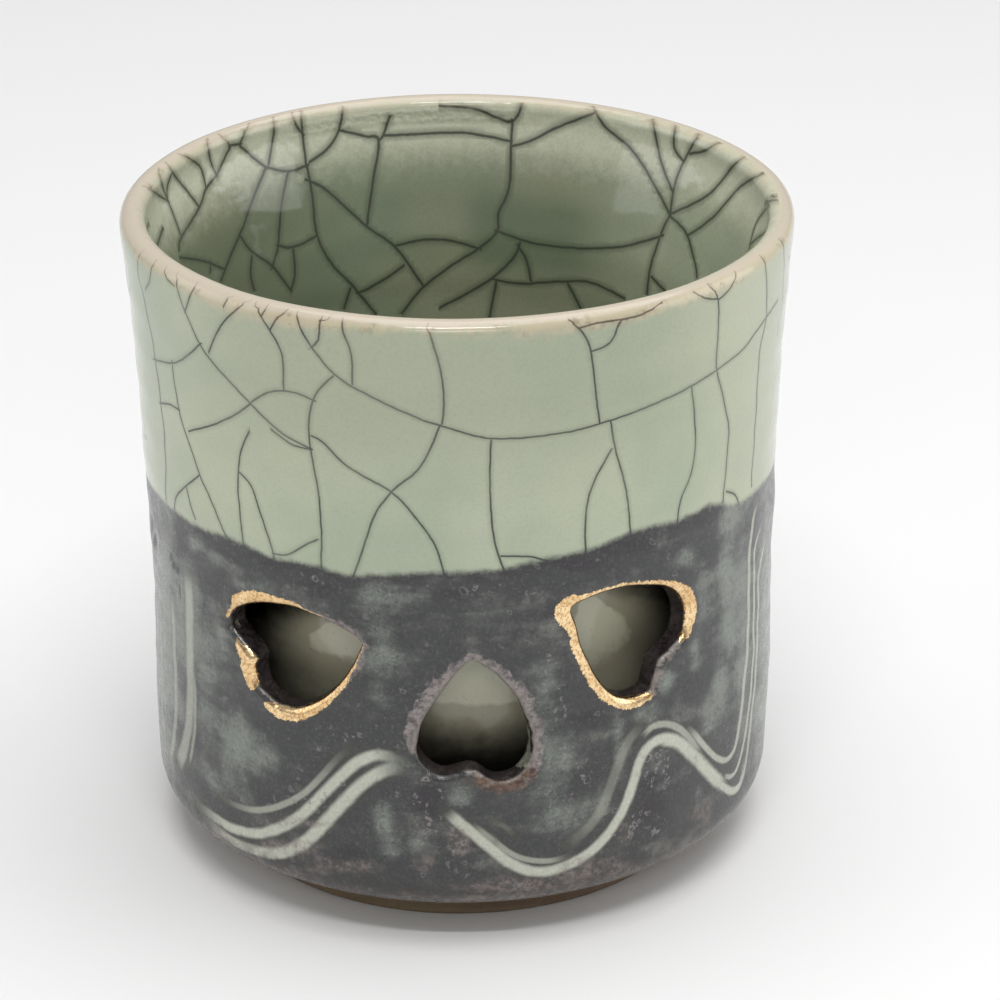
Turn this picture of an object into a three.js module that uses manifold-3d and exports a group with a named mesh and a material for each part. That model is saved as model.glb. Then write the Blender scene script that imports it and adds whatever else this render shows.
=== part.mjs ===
// A double-walled teacup, thrown in stoneware and fired as one piece.
// Millimetres, +Z up. The origin is the middle of the foot's underside, and the front is -Y.
// The inner cup hangs from the rim inside the outer shell. The hollow between the two walls
// is open to the air through three hearts that are cut through the shell.

import * as THREE from 'three';
import * as BufferGeometryUtils from 'three/addons/utils/BufferGeometryUtils.js';
import Module from 'manifold-3d';

const wasm = await Module();
wasm.setup();

// Outer shell, as radii of its outer face and the heights where they are measured
const CUP_HEIGHT = 81.0;
const RIM_RADIUS = 40.0;
const CHEST_RADIUS = 38.8;
const CHEST_HEIGHT = 60.0;
const WAIST_RADIUS = 38.1;
const WAIST_HEIGHT = 36.0;
const BELLY_RADIUS = 38.25;
const BELLY_HEIGHT = 20.0;
const HEEL_RADIUS = 38.1;
const HEEL_HEIGHT = 10.3;

// Foot ring and the underside between the ring and the heel
const FOOT_RADIUS = 29.4;
const FOOT_WIDTH = 5.0;
const FOOT_HEIGHT = 4.2;
const FOOT_DRAFT = 0.4;
const FOOT_EDGE = 0.6;
const FOOT_RECESS = 3.0;
const HEEL_TURN = 1.9;
const HEEL_RISE = 0.3;
const HEEL_ROUND = 4.0;

// Walls and rim
const RIM_THICKNESS = 3.0;
const SHELL_WALL = 3.0;
const INNER_WALL = 2.7;
const BASE_THICKNESS = 3.8;
const FLOOR_THICKNESS = 3.2;
const RIM_FLARE = 1.1;
const RIM_FLARE_DEPTH = 6.0;
const BOWL_BLEND = 5.0;

// Hollow between the walls
const JOINT_DEPTH = 19.0;
const CAVITY_TOP_GAP = 1.7;
const CAVITY_GAP = 4.2;
const CAVITY_FLOOR_GAP = 4.2;
const CAVITY_CORNER = 6.0;
const INNER_CORNER = 12.0;

// Hearts: each one is as wide, as long and as deeply cleft as the others
const HEART_WIDTH = 13.4;
const HEART_LENGTH = 16.0;
const HEART_CLEFT = 1.5;
const HEART_LOBE = 4.6;
const HEART_TIP_HALF_ANGLE = 46.0;
const HEART_LIP = 1.1;
const HEART_CUT_PAST = 3.0;

// Where the middle of each heart stands on the shell, and the way its tip points:
// degrees round from the front, height, and degrees up from the horizontal
const HEARTS = [
  { azimuth: 2.0, height: 31.0, tip: 90.0 },
  { azimuth: -29.2, height: 37.4, tip: 21.0 },
  { azimuth: 29.6, height: 39.7, tip: 140.0 },
];

// Fineness of the facets
const TURN_STEPS = 56;
const FACE_STEPS = 8;
const BOWL_STEPS = 4;
const CAVITY_STEPS = 5;
const ROUND_STEPS = 4;
const HEART_STEPS = 6;
const LIP_STEPS = 3;

// The outer face from the heel to the rim, one smooth curve of radius against height
const rimMiddle = CUP_HEIGHT - RIM_THICKNESS / 2;
const cavityTop = CUP_HEIGHT - JOINT_DEPTH;
const shellFace = new THREE.SplineCurve([
  new THREE.Vector2(HEEL_RADIUS, HEEL_HEIGHT),
  new THREE.Vector2(BELLY_RADIUS, BELLY_HEIGHT),
  new THREE.Vector2(WAIST_RADIUS, WAIST_HEIGHT),
  new THREE.Vector2(CHEST_RADIUS, CHEST_HEIGHT),
  new THREE.Vector2(RIM_RADIUS, rimMiddle),
]);
const shellSamples = shellFace.getPoints(200);

// Radius of the shell's outer face at a height
function shellRadius(height) {
  const above = shellSamples.findIndex((point) => point.y >= height);
  if (above === -1) return shellSamples[shellSamples.length - 1].x;
  if (above === 0) return shellSamples[0].x;
  const high = shellSamples[above];
  const low = shellSamples[above - 1];
  return THREE.MathUtils.mapLinear(height, low.y, high.y, low.x, high.x);
}

// Width of the hollow at a height: full up to the waist, and closing towards its top
function cavityGap(height) {
  const closing = THREE.MathUtils.smoothstep(height, WAIST_HEIGHT, cavityTop);
  return THREE.MathUtils.lerp(CAVITY_GAP, CAVITY_TOP_GAP, closing);
}

const shellInside = (height) => shellRadius(height) - SHELL_WALL;
const innerCupOutside = (height) => shellInside(height) - cavityGap(height);
const innerCupInside = (height) => innerCupOutside(height) - INNER_WALL;

const heelUnderside = FOOT_HEIGHT + HEEL_RISE;
const cavityFloor = heelUnderside + BASE_THICKNESS;
const innerUnderside = cavityFloor + CAVITY_FLOOR_GAP;
const cupFloor = innerUnderside + FLOOR_THICKNESS;

// Adds a smooth face to an outline, from one height to another, as radius against height
function followFace(outline, radiusAtHeight, from, to, steps) {
  for (let step = 1; step <= steps; step += 1) {
    const height = THREE.MathUtils.lerp(from, to, step / steps);
    outline.lineTo(radiusAtHeight(height), height);
  }
}

// Turns an outline once round the cup's axis into a closed solid
function turned(outline) {
  const geometry = new THREE.LatheGeometry(outline.getPoints(ROUND_STEPS), TURN_STEPS);
  geometry.rotateX(Math.PI / 2);
  return toSolid(geometry);
}

// Makes a manifold solid of a closed three.js geometry
function toSolid(geometry) {
  const bare = geometry.clone();
  bare.deleteAttribute('normal');
  bare.deleteAttribute('uv');
  const merged = BufferGeometryUtils.mergeVertices(bare, 1e-4);
  const corners = merged.index.array;
  const kept = [];
  for (let i = 0; i < corners.length; i += 3) {
    const [a, b, c] = [corners[i], corners[i + 1], corners[i + 2]];
    if (a !== b && b !== c && c !== a) kept.push(a, b, c);
  }
  return new wasm.Manifold(new wasm.Mesh({
    numProp: 3,
    vertProperties: new Float32Array(merged.attributes.position.array),
    triVerts: new Uint32Array(kept),
  }));
}

// Makes a three.js geometry of a manifold solid
function toGeometry(solid) {
  const mesh = solid.getMesh();
  const geometry = new THREE.BufferGeometry();
  geometry.setAttribute('position', new THREE.BufferAttribute(mesh.vertProperties, 3));
  geometry.setIndex(new THREE.BufferAttribute(mesh.triVerts, 1));
  const flat = geometry.toNonIndexed();
  flat.computeVertexNormals();
  return flat;
}

// The fired body with its drinking bowl, before the hollow and the hearts are taken out
function bodySolid() {
  const footInside = FOOT_RADIUS - FOOT_WIDTH;
  const rimInside = RIM_RADIUS - RIM_THICKNESS;
  const bowlCorner = cupFloor + INNER_CORNER;
  const bowlTop = cavityTop - BOWL_BLEND;
  const flareFoot = new THREE.Vector2(rimInside - RIM_FLARE, CUP_HEIGHT - RIM_FLARE_DEPTH);
  const flareLean = RIM_FLARE / (RIM_FLARE_DEPTH / 2);
  const blend = (flareFoot.y - bowlTop) / 3;
  const outline = new THREE.Path();
  outline.moveTo(0, FOOT_RECESS);
  outline.lineTo(footInside - FOOT_DRAFT, FOOT_RECESS);
  outline.lineTo(footInside, FOOT_EDGE);
  outline.lineTo(footInside + FOOT_EDGE, 0);
  outline.lineTo(FOOT_RADIUS - FOOT_EDGE, 0);
  outline.lineTo(FOOT_RADIUS, FOOT_EDGE);
  outline.lineTo(FOOT_RADIUS - FOOT_DRAFT, FOOT_HEIGHT);
  outline.bezierCurveTo(
    HEEL_RADIUS - HEEL_TURN, heelUnderside,
    HEEL_RADIUS, HEEL_HEIGHT - HEEL_ROUND,
    HEEL_RADIUS, HEEL_HEIGHT,
  );
  followFace(outline, shellRadius, HEEL_HEIGHT, rimMiddle, FACE_STEPS);
  outline.absarc(RIM_RADIUS - RIM_THICKNESS / 2, rimMiddle, RIM_THICKNESS / 2, 0, Math.PI, false);
  outline.quadraticCurveTo(
    rimInside, CUP_HEIGHT - RIM_FLARE_DEPTH / 2,
    flareFoot.x, flareFoot.y,
  );
  outline.bezierCurveTo(
    flareFoot.x - flareLean * blend, flareFoot.y - blend,
    innerCupInside(bowlTop + blend), bowlTop + blend,
    innerCupInside(bowlTop), bowlTop,
  );
  followFace(outline, innerCupInside, bowlTop, bowlCorner, BOWL_STEPS);
  outline.bezierCurveTo(
    innerCupInside(cupFloor), cupFloor + INNER_CORNER / 3,
    innerCupInside(cupFloor) - INNER_CORNER / 2, cupFloor,
    innerCupInside(cupFloor) - INNER_CORNER, cupFloor,
  );
  outline.lineTo(0, cupFloor);
  return turned(outline);
}

// The hollow between the shell and the inner cup
function cavitySolid() {
  const middle = shellInside(cavityTop) - CAVITY_TOP_GAP / 2;
  const innerCorner = innerUnderside + INNER_CORNER;
  const outerCorner = cavityFloor + CAVITY_CORNER;
  const outline = new THREE.Path();
  outline.moveTo(0, cavityFloor);
  outline.lineTo(shellInside(cavityFloor) - CAVITY_CORNER, cavityFloor);
  outline.quadraticCurveTo(
    shellInside(cavityFloor), cavityFloor,
    shellInside(outerCorner), outerCorner,
  );
  followFace(outline, shellInside, outerCorner, cavityTop, CAVITY_STEPS);
  outline.absarc(middle, cavityTop, CAVITY_TOP_GAP / 2, 0, Math.PI, false);
  followFace(outline, innerCupOutside, cavityTop, innerCorner, CAVITY_STEPS);
  outline.bezierCurveTo(
    innerCupOutside(innerUnderside), innerUnderside + INNER_CORNER / 3,
    innerCupOutside(innerUnderside) - INNER_CORNER / 2, innerUnderside,
    innerCupOutside(innerUnderside) - INNER_CORNER, innerUnderside,
  );
  outline.lineTo(0, innerUnderside);
  return turned(outline);
}

// One heart, tip up, about the middle of its length
function heartShape() {
  const half = HEART_WIDTH / 2;
  const lobes = -HEART_LENGTH / 2;
  const tip = HEART_LENGTH / 2;
  const cleft = lobes + HEART_CLEFT;
  const widest = lobes + HEART_LOBE;
  const flank = (tip - widest) / 3;
  const lean = flank * Math.tan(THREE.MathUtils.degToRad(HEART_TIP_HALF_ANGLE));
  const heart = new THREE.Shape();
  heart.moveTo(0, cleft);
  heart.bezierCurveTo(half / 5, cleft, half / 5, lobes, half / 2, lobes);
  heart.bezierCurveTo(half * 0.8, lobes, half, lobes + HEART_LOBE / 2, half, widest);
  heart.bezierCurveTo(half, widest + flank, lean, tip - flank, 0, tip);
  heart.bezierCurveTo(-lean, tip - flank, -half, widest + flank, -half, widest);
  heart.bezierCurveTo(-half, lobes + HEART_LOBE / 2, -half * 0.8, lobes, -half / 2, lobes);
  heart.bezierCurveTo(-half / 5, lobes, -half / 5, cleft, 0, cleft);
  return heart;
}

// How far the rounded lip of a heart has opened, at a depth under the shell's outer face
function lipOpening(depth) {
  const left = THREE.MathUtils.clamp(HEART_LIP - depth, 0, HEART_LIP);
  return HEART_LIP - Math.sqrt(HEART_LIP ** 2 - left ** 2);
}

// What a heart takes out of the shell, bent round the cup's axis: from the middle of the
// hollow to past the outer face, in layers that are close together where the lip rounds over
function heartCutter({ azimuth, height, tip }) {
  const layers = [SHELL_WALL + CAVITY_GAP / 2, HEART_LIP];
  for (let step = 1; step <= LIP_STEPS; step += 1) {
    const turn = (step / LIP_STEPS) * (Math.PI / 2);
    layers.push(HEART_LIP * (1 - Math.sin(turn)));
  }
  layers.push(-HEART_CUT_PAST);
  const geometry = new THREE.ExtrudeGeometry(heartShape(), {
    depth: layers.length - 1,
    steps: layers.length - 1,
    curveSegments: HEART_STEPS,
    bevelEnabled: false,
  });
  const turn = THREE.MathUtils.degToRad(tip - 90);
  const position = geometry.attributes.position;
  for (let i = 0; i < position.count; i += 1) {
    const depth = layers[Math.round(position.getZ(i))];
    const point = new THREE.Vector2(position.getX(i), position.getY(i));
    point.setLength(point.length() + lipOpening(depth));
    point.rotateAround(new THREE.Vector2(), turn);
    const level = height + point.y;
    const face = shellRadius(level);
    const angle = THREE.MathUtils.degToRad(azimuth) + point.x / shellRadius(height);
    const radius = face - depth;
    position.setXYZ(i, radius * Math.sin(angle), -radius * Math.cos(angle), level);
  }
  return toSolid(geometry);
}

const glazedStoneware = new THREE.MeshStandardMaterial({
  name: 'glazed_stoneware',
  color: 0x9fab98,
  roughness: 0.2,
  metalness: 0.0,
});

let fired = bodySolid().subtract(cavitySolid());
for (const heart of HEARTS) {
  fired = fired.subtract(heartCutter(heart));
}

const teacup = new THREE.Mesh(toGeometry(fired), glazedStoneware);
teacup.name = 'teacup';

const group = new THREE.Group();
group.add(teacup);

export default group;
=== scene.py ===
"""A double-walled teacup with a crackled celadon glaze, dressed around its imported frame.

The cup stands on the XY plane with its axis on Z and its three hearts towards -Y. Blender works in
metres; the drawing on the glaze is worked out in millimetres, with names that end in _mm.
"""
import math
import random
from types import SimpleNamespace

import bmesh
import bpy
import numpy as np
from bpy.props import FloatProperty, FloatVectorProperty, PointerProperty
from mathutils import Matrix, Vector, noise


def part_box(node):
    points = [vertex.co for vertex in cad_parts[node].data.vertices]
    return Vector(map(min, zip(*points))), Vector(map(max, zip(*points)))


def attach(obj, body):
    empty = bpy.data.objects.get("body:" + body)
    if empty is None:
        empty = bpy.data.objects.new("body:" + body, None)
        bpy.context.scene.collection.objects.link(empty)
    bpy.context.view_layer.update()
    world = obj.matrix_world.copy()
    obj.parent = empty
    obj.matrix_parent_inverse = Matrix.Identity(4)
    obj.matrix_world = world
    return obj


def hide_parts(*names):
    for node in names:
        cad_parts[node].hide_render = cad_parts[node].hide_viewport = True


bl_info = {
    "name": "Double-walled teacup",
    "version": (1, 0, 0),
    "blender": (4, 5, 0),
    "location": "View3D > Sidebar > Teacup",
    "description": "Throws, cuts and glazes a double-walled teacup with a crackle finish",
    "category": "Add Mesh",
}

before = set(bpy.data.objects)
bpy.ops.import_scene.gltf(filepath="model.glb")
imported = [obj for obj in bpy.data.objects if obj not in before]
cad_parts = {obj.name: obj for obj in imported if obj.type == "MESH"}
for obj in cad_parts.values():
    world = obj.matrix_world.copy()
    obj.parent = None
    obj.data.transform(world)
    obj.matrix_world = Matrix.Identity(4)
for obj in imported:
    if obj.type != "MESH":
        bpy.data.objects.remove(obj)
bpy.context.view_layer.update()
CUP_LOW, CUP_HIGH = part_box("teacup")

MM = 0.001
FRAME_PIXELS = 1000
SENSOR_MM = 36.0

# How finely the body and the hollow are made: millimetres along the section, and steps round it
BODY_STEP = 0.72
BODY_TURN = 320
HOLLOW_STEP = 1.6
HOLLOW_TURN = 144

# Radii at which each wall is unrolled to draw on it, and how wide a pixel is on the near wall
SHELL_UNROLLED = 39.0
BOWL_UNROLLED = 33.0
PIXEL_MM = 0.118

# What a vertex far from every heart holds: distance to a lip, depth in the gold and in the border
NO_LIP = 30.0
NO_GOLD = -2.0
NO_BORDER = -9.0

# Hearts as the photograph's frame shows the edges of their openings, clockwise from the tip
FRONT_HEART = (
    (474, 661), (482, 665), (495, 674), (508, 687), (518, 700), (525, 716), (528, 721), (529, 727),
    (532, 732), (531, 739), (533, 747), (531, 754), (529, 762), (520, 773), (508, 779), (495, 780),
    (486, 776), (477, 770), (469, 769), (462, 770), (451, 773), (441, 774), (431, 770), (422, 762),
    (417, 752), (418, 740), (422, 724), (431, 708), (441, 694), (451, 680), (462, 668), (469, 662),
)
LEFT_HEART = (
    (361, 642), (358, 653), (351, 667), (340, 682), (326, 695), (312, 703), (298, 707), (287, 705),
    (278, 702), (267, 693), (261, 687), (258, 680), (256, 667), (258, 658), (253, 651), (242, 637),
    (235, 628), (232, 620), (235, 611), (246, 605), (263, 603), (284, 605), (298, 608), (312, 614),
    (326, 620), (347, 631),
)
RIGHT_HEART = (
    (572, 608), (587, 599), (606, 592), (626, 587), (645, 586), (664, 587), (677, 594), (684, 606),
    (685, 619), (683, 631), (679, 639), (670, 649), (658, 660), (655, 672), (652, 682), (650, 690),
    (641, 695), (628, 698), (617, 696), (606, 688), (596, 675), (589, 661), (581, 644), (577, 626),
)

# Gold on the side hearts: how far round from the tip, as a share of the way, then the inner and
# the outer edge of the gold in millimetres from the opening, negative down inside it
LEFT_GOLD = (
    (0.00, -0.1, 0.5), (0.05, -0.1, 0.5), (0.12, -0.1, 0.8), (0.18, 0.0, 1.0), (0.24, 0.1, 1.3),
    (0.30, 0.2, 1.7), (0.34, 0.3, 1.5), (0.365, 0.9, 1.3), (0.375, 1.2, 0.9), (0.39, 0.9, 0.5),
    (0.40, 0.1, 1.2), (0.43, 0.0, 1.8), (0.47, 0.0, 2.1), (0.505, 0.2, 1.8), (0.53, 0.5, 1.1),
    (0.545, 0.6, 0.3), (0.58, 0.6, 0.3), (0.60, 0.3, 0.6), (0.63, 0.1, 0.5), (0.648, 0.0, 1.6),
    (0.70, -0.1, 1.9), (0.75, -0.1, 1.6), (0.80, 0.0, 1.1), (0.86, 0.1, 0.7), (0.92, 0.0, 0.45),
    (0.96, 0.0, 0.45),
)
RIGHT_GOLD = (
    (0.00, 0.0, 2.3), (0.02, 0.0, 1.3), (0.06, 0.0, 0.9), (0.15, 0.0, 0.8), (0.24, 0.0, 0.9),
    (0.30, 0.0, 1.2), (0.34, 0.1, 1.7), (0.38, 0.1, 1.5), (0.42, 0.1, 1.0), (0.45, 0.1, 0.7),
    (0.47, 0.6, 0.3), (0.60, 0.6, 0.3), (0.625, 0.2, 1.0), (0.66, 0.0, 1.2), (0.72, 0.0, 1.3),
    (0.80, 0.0, 1.4), (0.88, 0.0, 1.3), (0.95, 0.0, 1.3), (0.985, 0.0, 2.0),
)

# Width of the thin, granular glaze round each opening, against the share of the way round
BORDERS = {
    "front": (
        (0.00, 1.1), (0.05, 1.4), (0.15, 1.5), (0.25, 1.35), (0.36, 1.4), (0.44, 1.2), (0.50, 1.0),
        (0.54, 0.5), (0.57, -0.3), (0.66, -0.3), (0.70, 0.9), (0.74, 1.8), (0.84, 2.0), (0.90, 1.7),
        (0.96, 1.3),
    ),
    "left": ((0.00, 0.9), (0.10, 0.9), (0.30, 0.4), (0.60, 0.2), (0.75, 0.8), (0.90, 1.1)),
    "right": ((0.00, 0.2), (0.30, 0.6), (0.45, 0.5), (0.60, 0.7), (0.70, 0.3), (0.90, 0.2)),
}

# The lower edge of the celadon, as the photograph's frame shows it from left to right
GLAZE_LINE = (
    (145, 471), (158, 495), (173, 509), (193, 523), (206, 529), (228, 536), (245, 543), (260, 551),
    (277, 558), (299, 561), (321, 566), (338, 572), (353, 575), (375, 574), (401, 573), (434, 572),
    (470, 571), (499, 569), (522, 563), (545, 558), (568, 554), (591, 549), (609, 542), (632, 532),
    (650, 527), (678, 521), (696, 513), (710, 505), (723, 504), (735, 505), (745, 500), (752, 494),
    (761, 485),
)

# Soft spots in the glazes, some of them painted light and shade, in the photograph's frame: place, reach
# across and down, strength
SPOTS = {
    # Green-grey clouds, and a painted sheen: the tall spots along the left and right edges
    "sage": (
        (238, 752, 24, 40, 0.75), (208, 690, 12, 90, 0.5), (268, 760, 16, 12, 0.4), (378, 640, 22, 26, 0.4),
        (395, 612, 34, 30, 0.25), (250, 585, 26, 5, 0.35), (470, 625, 60, 6, 0.25), (545, 700, 12, 50, 0.3),
        (550, 790, 22, 50, 0.3), (192, 610, 9, 44, 0.8), (160, 650, 13, 130, 0.95), (742, 640, 8, 120, 0.6),
        (374, 656, 30, 7, 0.4), (381, 690, 14, 26, 0.45), (372, 594, 20, 14, 0.45), (408, 598, 22, 8, 0.35),
        (483, 613, 34, 4, 0.3), (400, 628, 40, 4, 0.3), (552, 668, 16, 26, 0.35), (463, 797, 18, 12, 0.8),
        (519, 797, 28, 12, 0.4), (384, 820, 9, 22, 0.75), (392, 855, 14, 12, 0.6), (560, 770, 22, 40, 0.35),
        (570, 830, 30, 20, 0.5), (620, 750, 6, 30, 0.7), (602, 802, 6, 20, 0.6), (642, 716, 10, 8, 0.6),
        (695, 655, 6, 20, 0.8), (686, 557, 9, 10, 0.75), (704, 600, 10, 40, 0.4), (665, 680, 9, 12, 1.0),
        (732, 515, 6, 20, 1.0), (726, 560, 8, 34, 0.85), (728, 625, 8, 34, 0.8), (719, 682, 8, 26, 0.75),
        (708, 720, 8, 20, 0.6), (698, 793, 5, 14, 0.5), (655, 705, 9, 8, 0.6), (185, 590, 7, 20, 1.0),
        (188, 640, 8, 60, 0.8), (168, 600, 8, 60, 0.8), (172, 690, 10, 60, 0.6), (225, 640, 10, 50, 0.35),
        (215, 560, 14, 10, 0.4), (197, 545, 9, 7, 0.6), (420, 840, 10, 8, 0.4), (766, 640, 13, 140, 0.95),
        (300, 590, 12, 6, 0.4), (395, 764, 13, 11, 0.9),
    ),
    "plum": (
        (316, 588, 34, 12, 0.8), (459, 594, 44, 9, 0.75), (500, 645, 30, 8, 0.5), (555, 640, 16, 44, 0.9),
        (590, 718, 24, 12, 0.9), (575, 760, 6, 30, 0.8), (430, 800, 18, 34, 0.95), (350, 853, 30, 16, 0.8),
        (650, 800, 22, 36, 0.85), (640, 545, 60, 12, 0.9), (700, 520, 20, 9, 0.8), (580, 565, 44, 9, 0.8),
        (184, 545, 11, 20, 0.9), (215, 610, 8, 30, 0.5), (230, 560, 20, 8, 0.6), (209, 600, 5, 20, 0.8),
        (340, 720, 20, 10, 0.5), (560, 560, 30, 8, 0.7), (577, 823, 8, 12, 0.6), (250, 720, 16, 10, 0.4),
        (265, 800, 24, 10, 0.5), (480, 845, 16, 12, 0.6), (410, 575, 60, 4, 0.7),
    ),
    "blush": (
        (459, 842, 10, 15, 1.0), (700, 815, 16, 16, 0.6), (212, 838, 14, 10, 0.7), (500, 885, 90, 10, 0.7),
        (360, 866, 60, 10, 0.7), (280, 846, 60, 7, 0.5), (600, 868, 60, 12, 0.7), (425, 862, 12, 8, 0.5),
        (300, 822, 40, 4, 0.6), (622, 828, 10, 14, 0.6), (350, 800, 30, 4, 0.2),
    ),
    "froth": (
        (430, 800, 14, 32, 1.0), (325, 726, 8, 10, 0.6), (352, 736, 10, 8, 0.6), (393, 747, 6, 6, 0.8),
        (313, 582, 12, 8, 0.8), (480, 592, 9, 9, 0.7), (505, 634, 12, 5, 0.7), (560, 700, 8, 22, 0.7),
        (582, 770, 6, 22, 0.8), (657, 772, 14, 24, 1.0), (645, 826, 18, 12, 1.0), (622, 832, 8, 12, 0.9),
        (690, 566, 14, 6, 0.8), (553, 655, 6, 12, 0.7), (405, 785, 10, 8, 0.6), (459, 842, 10, 15, 0.8),
        (300, 802, 34, 6, 0.7), (460, 610, 30, 10, 0.3), (681, 700, 5, 8, 0.5), (510, 832, 8, 6, 0.5),
    ),
    "pit": (
        (171, 556, 2.2, 5, 1.0), (174, 565, 2.2, 5, 1.0), (178, 570, 1.8, 6, 0.9), (180, 595, 1.5, 18, 0.7),
        (203, 586, 1.6, 16, 0.7), (206, 603, 1.6, 10, 0.6), (153, 540, 1.2, 9, 1.0), (152, 572, 1.2, 6, 1.0),
    ),
    "rust": (
        (505, 785, 24, 7, 1.0), (480, 779, 12, 6, 0.9), (534, 774, 8, 8, 0.8), (372, 893, 20, 5, 0.8),
    ),
    # Painted light and shade on the hollow behind the hearts: light near the top of each opening, shade below
    "glow": (
        (474, 666, 170, 66, 0.99), (338, 634, 16, 12, 0.86), (326, 638, 50, 25, 0.6),
        (592, 614, 16, 22, 0.86), (614, 626, 50, 40, 0.6),
    ),
    "flake": (
        (526, 742, 5, 18, 1.0), (521, 760, 9, 7, 1.0), (662, 676, 8, 9, 1.0), (238, 622, 6, 9, 0.48),
        (664, 668, 12, 5, 0.8),
    ),
    "wet": (
        (485, 770, 22, 9, 1.0), (515, 772, 14, 9, 1.0), (668, 642, 16, 16, 1.0), (650, 690, 14, 8, 0.7),
        (276, 706, 14, 9, 0.9),
    ),
}

# Cracks in the celadon outside, each from end to end in the photograph's frame
SHELL_CRACKS = {
    "long_left": (
        (177, 264), (173, 268), (176, 283), (186, 313), (208, 355), (251, 403), (284, 434), (311, 448),
    ),
    "long_front": (
        (293, 305), (297, 316), (306, 336), (334, 372), (375, 397), (420, 418), (442, 425), (492, 438),
        (559, 433), (600, 423), (640, 409), (692, 385), (738, 353), (757, 328), (777, 299),
    ),
    "front_rise": ((428, 325), (440, 366), (444, 399), (442, 424)),
    "right_rise": ((571, 319), (582, 329), (591, 348), (596, 392), (600, 422)),
    "right_hook": ((663, 301), (642, 312), (621, 318), (616, 331), (607, 343), (591, 349)),
    "rim_trail": ((621, 317), (600, 320), (582, 325)),
    "far_right_rise": ((714, 284), (719, 298), (719, 330), (717, 365), (729, 422), (727, 470), (724, 502)),
    "far_right_fork": ((740, 271), (730, 287), (719, 297)),
    "far_right_tick": ((697, 290), (706, 295), (718, 296)),
    "edge_right": ((766, 252), (767, 305), (760, 350), (757, 401), (752, 486)),
    "edge_right_two": ((784, 232), (784, 280), (778, 330)),
    "front_fall": ((440, 425), (421, 466), (392, 491), (374, 517), (362, 553), (351, 583)),
    "front_cross": ((311, 435), (322, 441), (348, 466), (392, 492), (416, 518), (435, 545), (446, 580)),
    "middle_fall": ((491, 439), (490, 490), (494, 539), (504, 570)),
    "right_fall": ((611, 422), (617, 455), (627, 493), (632, 548)),
    "right_branch": ((612, 449), (594, 482), (586, 515), (586, 560)),
    "far_right_fall": ((692, 386), (696, 429), (693, 470), (682, 498), (678, 524)),
    "left_fall": ((334, 374), (318, 390), (310, 412), (310, 443), (318, 485), (322, 530), (322, 566)),
    "left_arch": ((251, 402), (270, 391), (293, 391), (313, 399)),
    "left_join": ((273, 430), (292, 444), (311, 449)),
    "left_web": ((250, 430), (241, 455), (239, 490), (245, 543)),
    "left_splay": ((241, 473), (253, 487), (262, 515), (275, 553), (273, 563)),
    "left_tail": ((189, 431), (215, 424), (238, 413), (251, 403)),
    "left_drop": ((172, 362), (180, 411), (199, 470), (212, 500), (228, 536)),
    "left_bar": ((153, 359), (173, 363), (188, 355), (202, 342)),
    "left_rung": ((160, 403), (170, 404), (179, 409)),
    "left_edge": ((140, 237), (138, 271), (145, 302), (153, 345), (161, 401), (165, 450), (166, 502)),
    "left_spur": ((199, 476), (184, 488), (177, 497), (175, 507)),
    "left_spur_two": ((187, 487), (192, 505), (196, 517)),
    "left_flake": ((320, 538), (305, 545), (288, 554), (276, 553)),
    "right_flake": ((501, 556), (520, 556), (534, 557), (546, 560)),
    "far_right_flake": ((728, 492), (736, 495), (740, 508)),
    "rim_hook": ((185, 312), (192, 291), (197, 279), (201, 276)),
    "rim_lean": ((253, 295), (240, 306), (226, 319), (216, 335), (209, 353)),
    "rim_bow": ((251, 299), (262, 315), (271, 329), (280, 345), (284, 362), (284, 390)),
    "rim_twig": ((271, 301), (266, 306), (262, 314)),
    "rim_twig_two": ((284, 310), (277, 317), (271, 328)),
    "rim_notch": ((341, 317), (343, 330), (351, 350), (353, 383)),
    "rim_tick": ((319, 310), (319, 337), (311, 346)),
    "rim_dash": ((332, 316), (320, 319)),
    "rim_left": ((151, 264), (150, 280), (145, 290)),
    "rim_far_left": ((160, 265), (166, 278), (174, 285)),
    "rim_speck": ((231, 293), (226, 300), (224, 306)),
}

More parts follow.
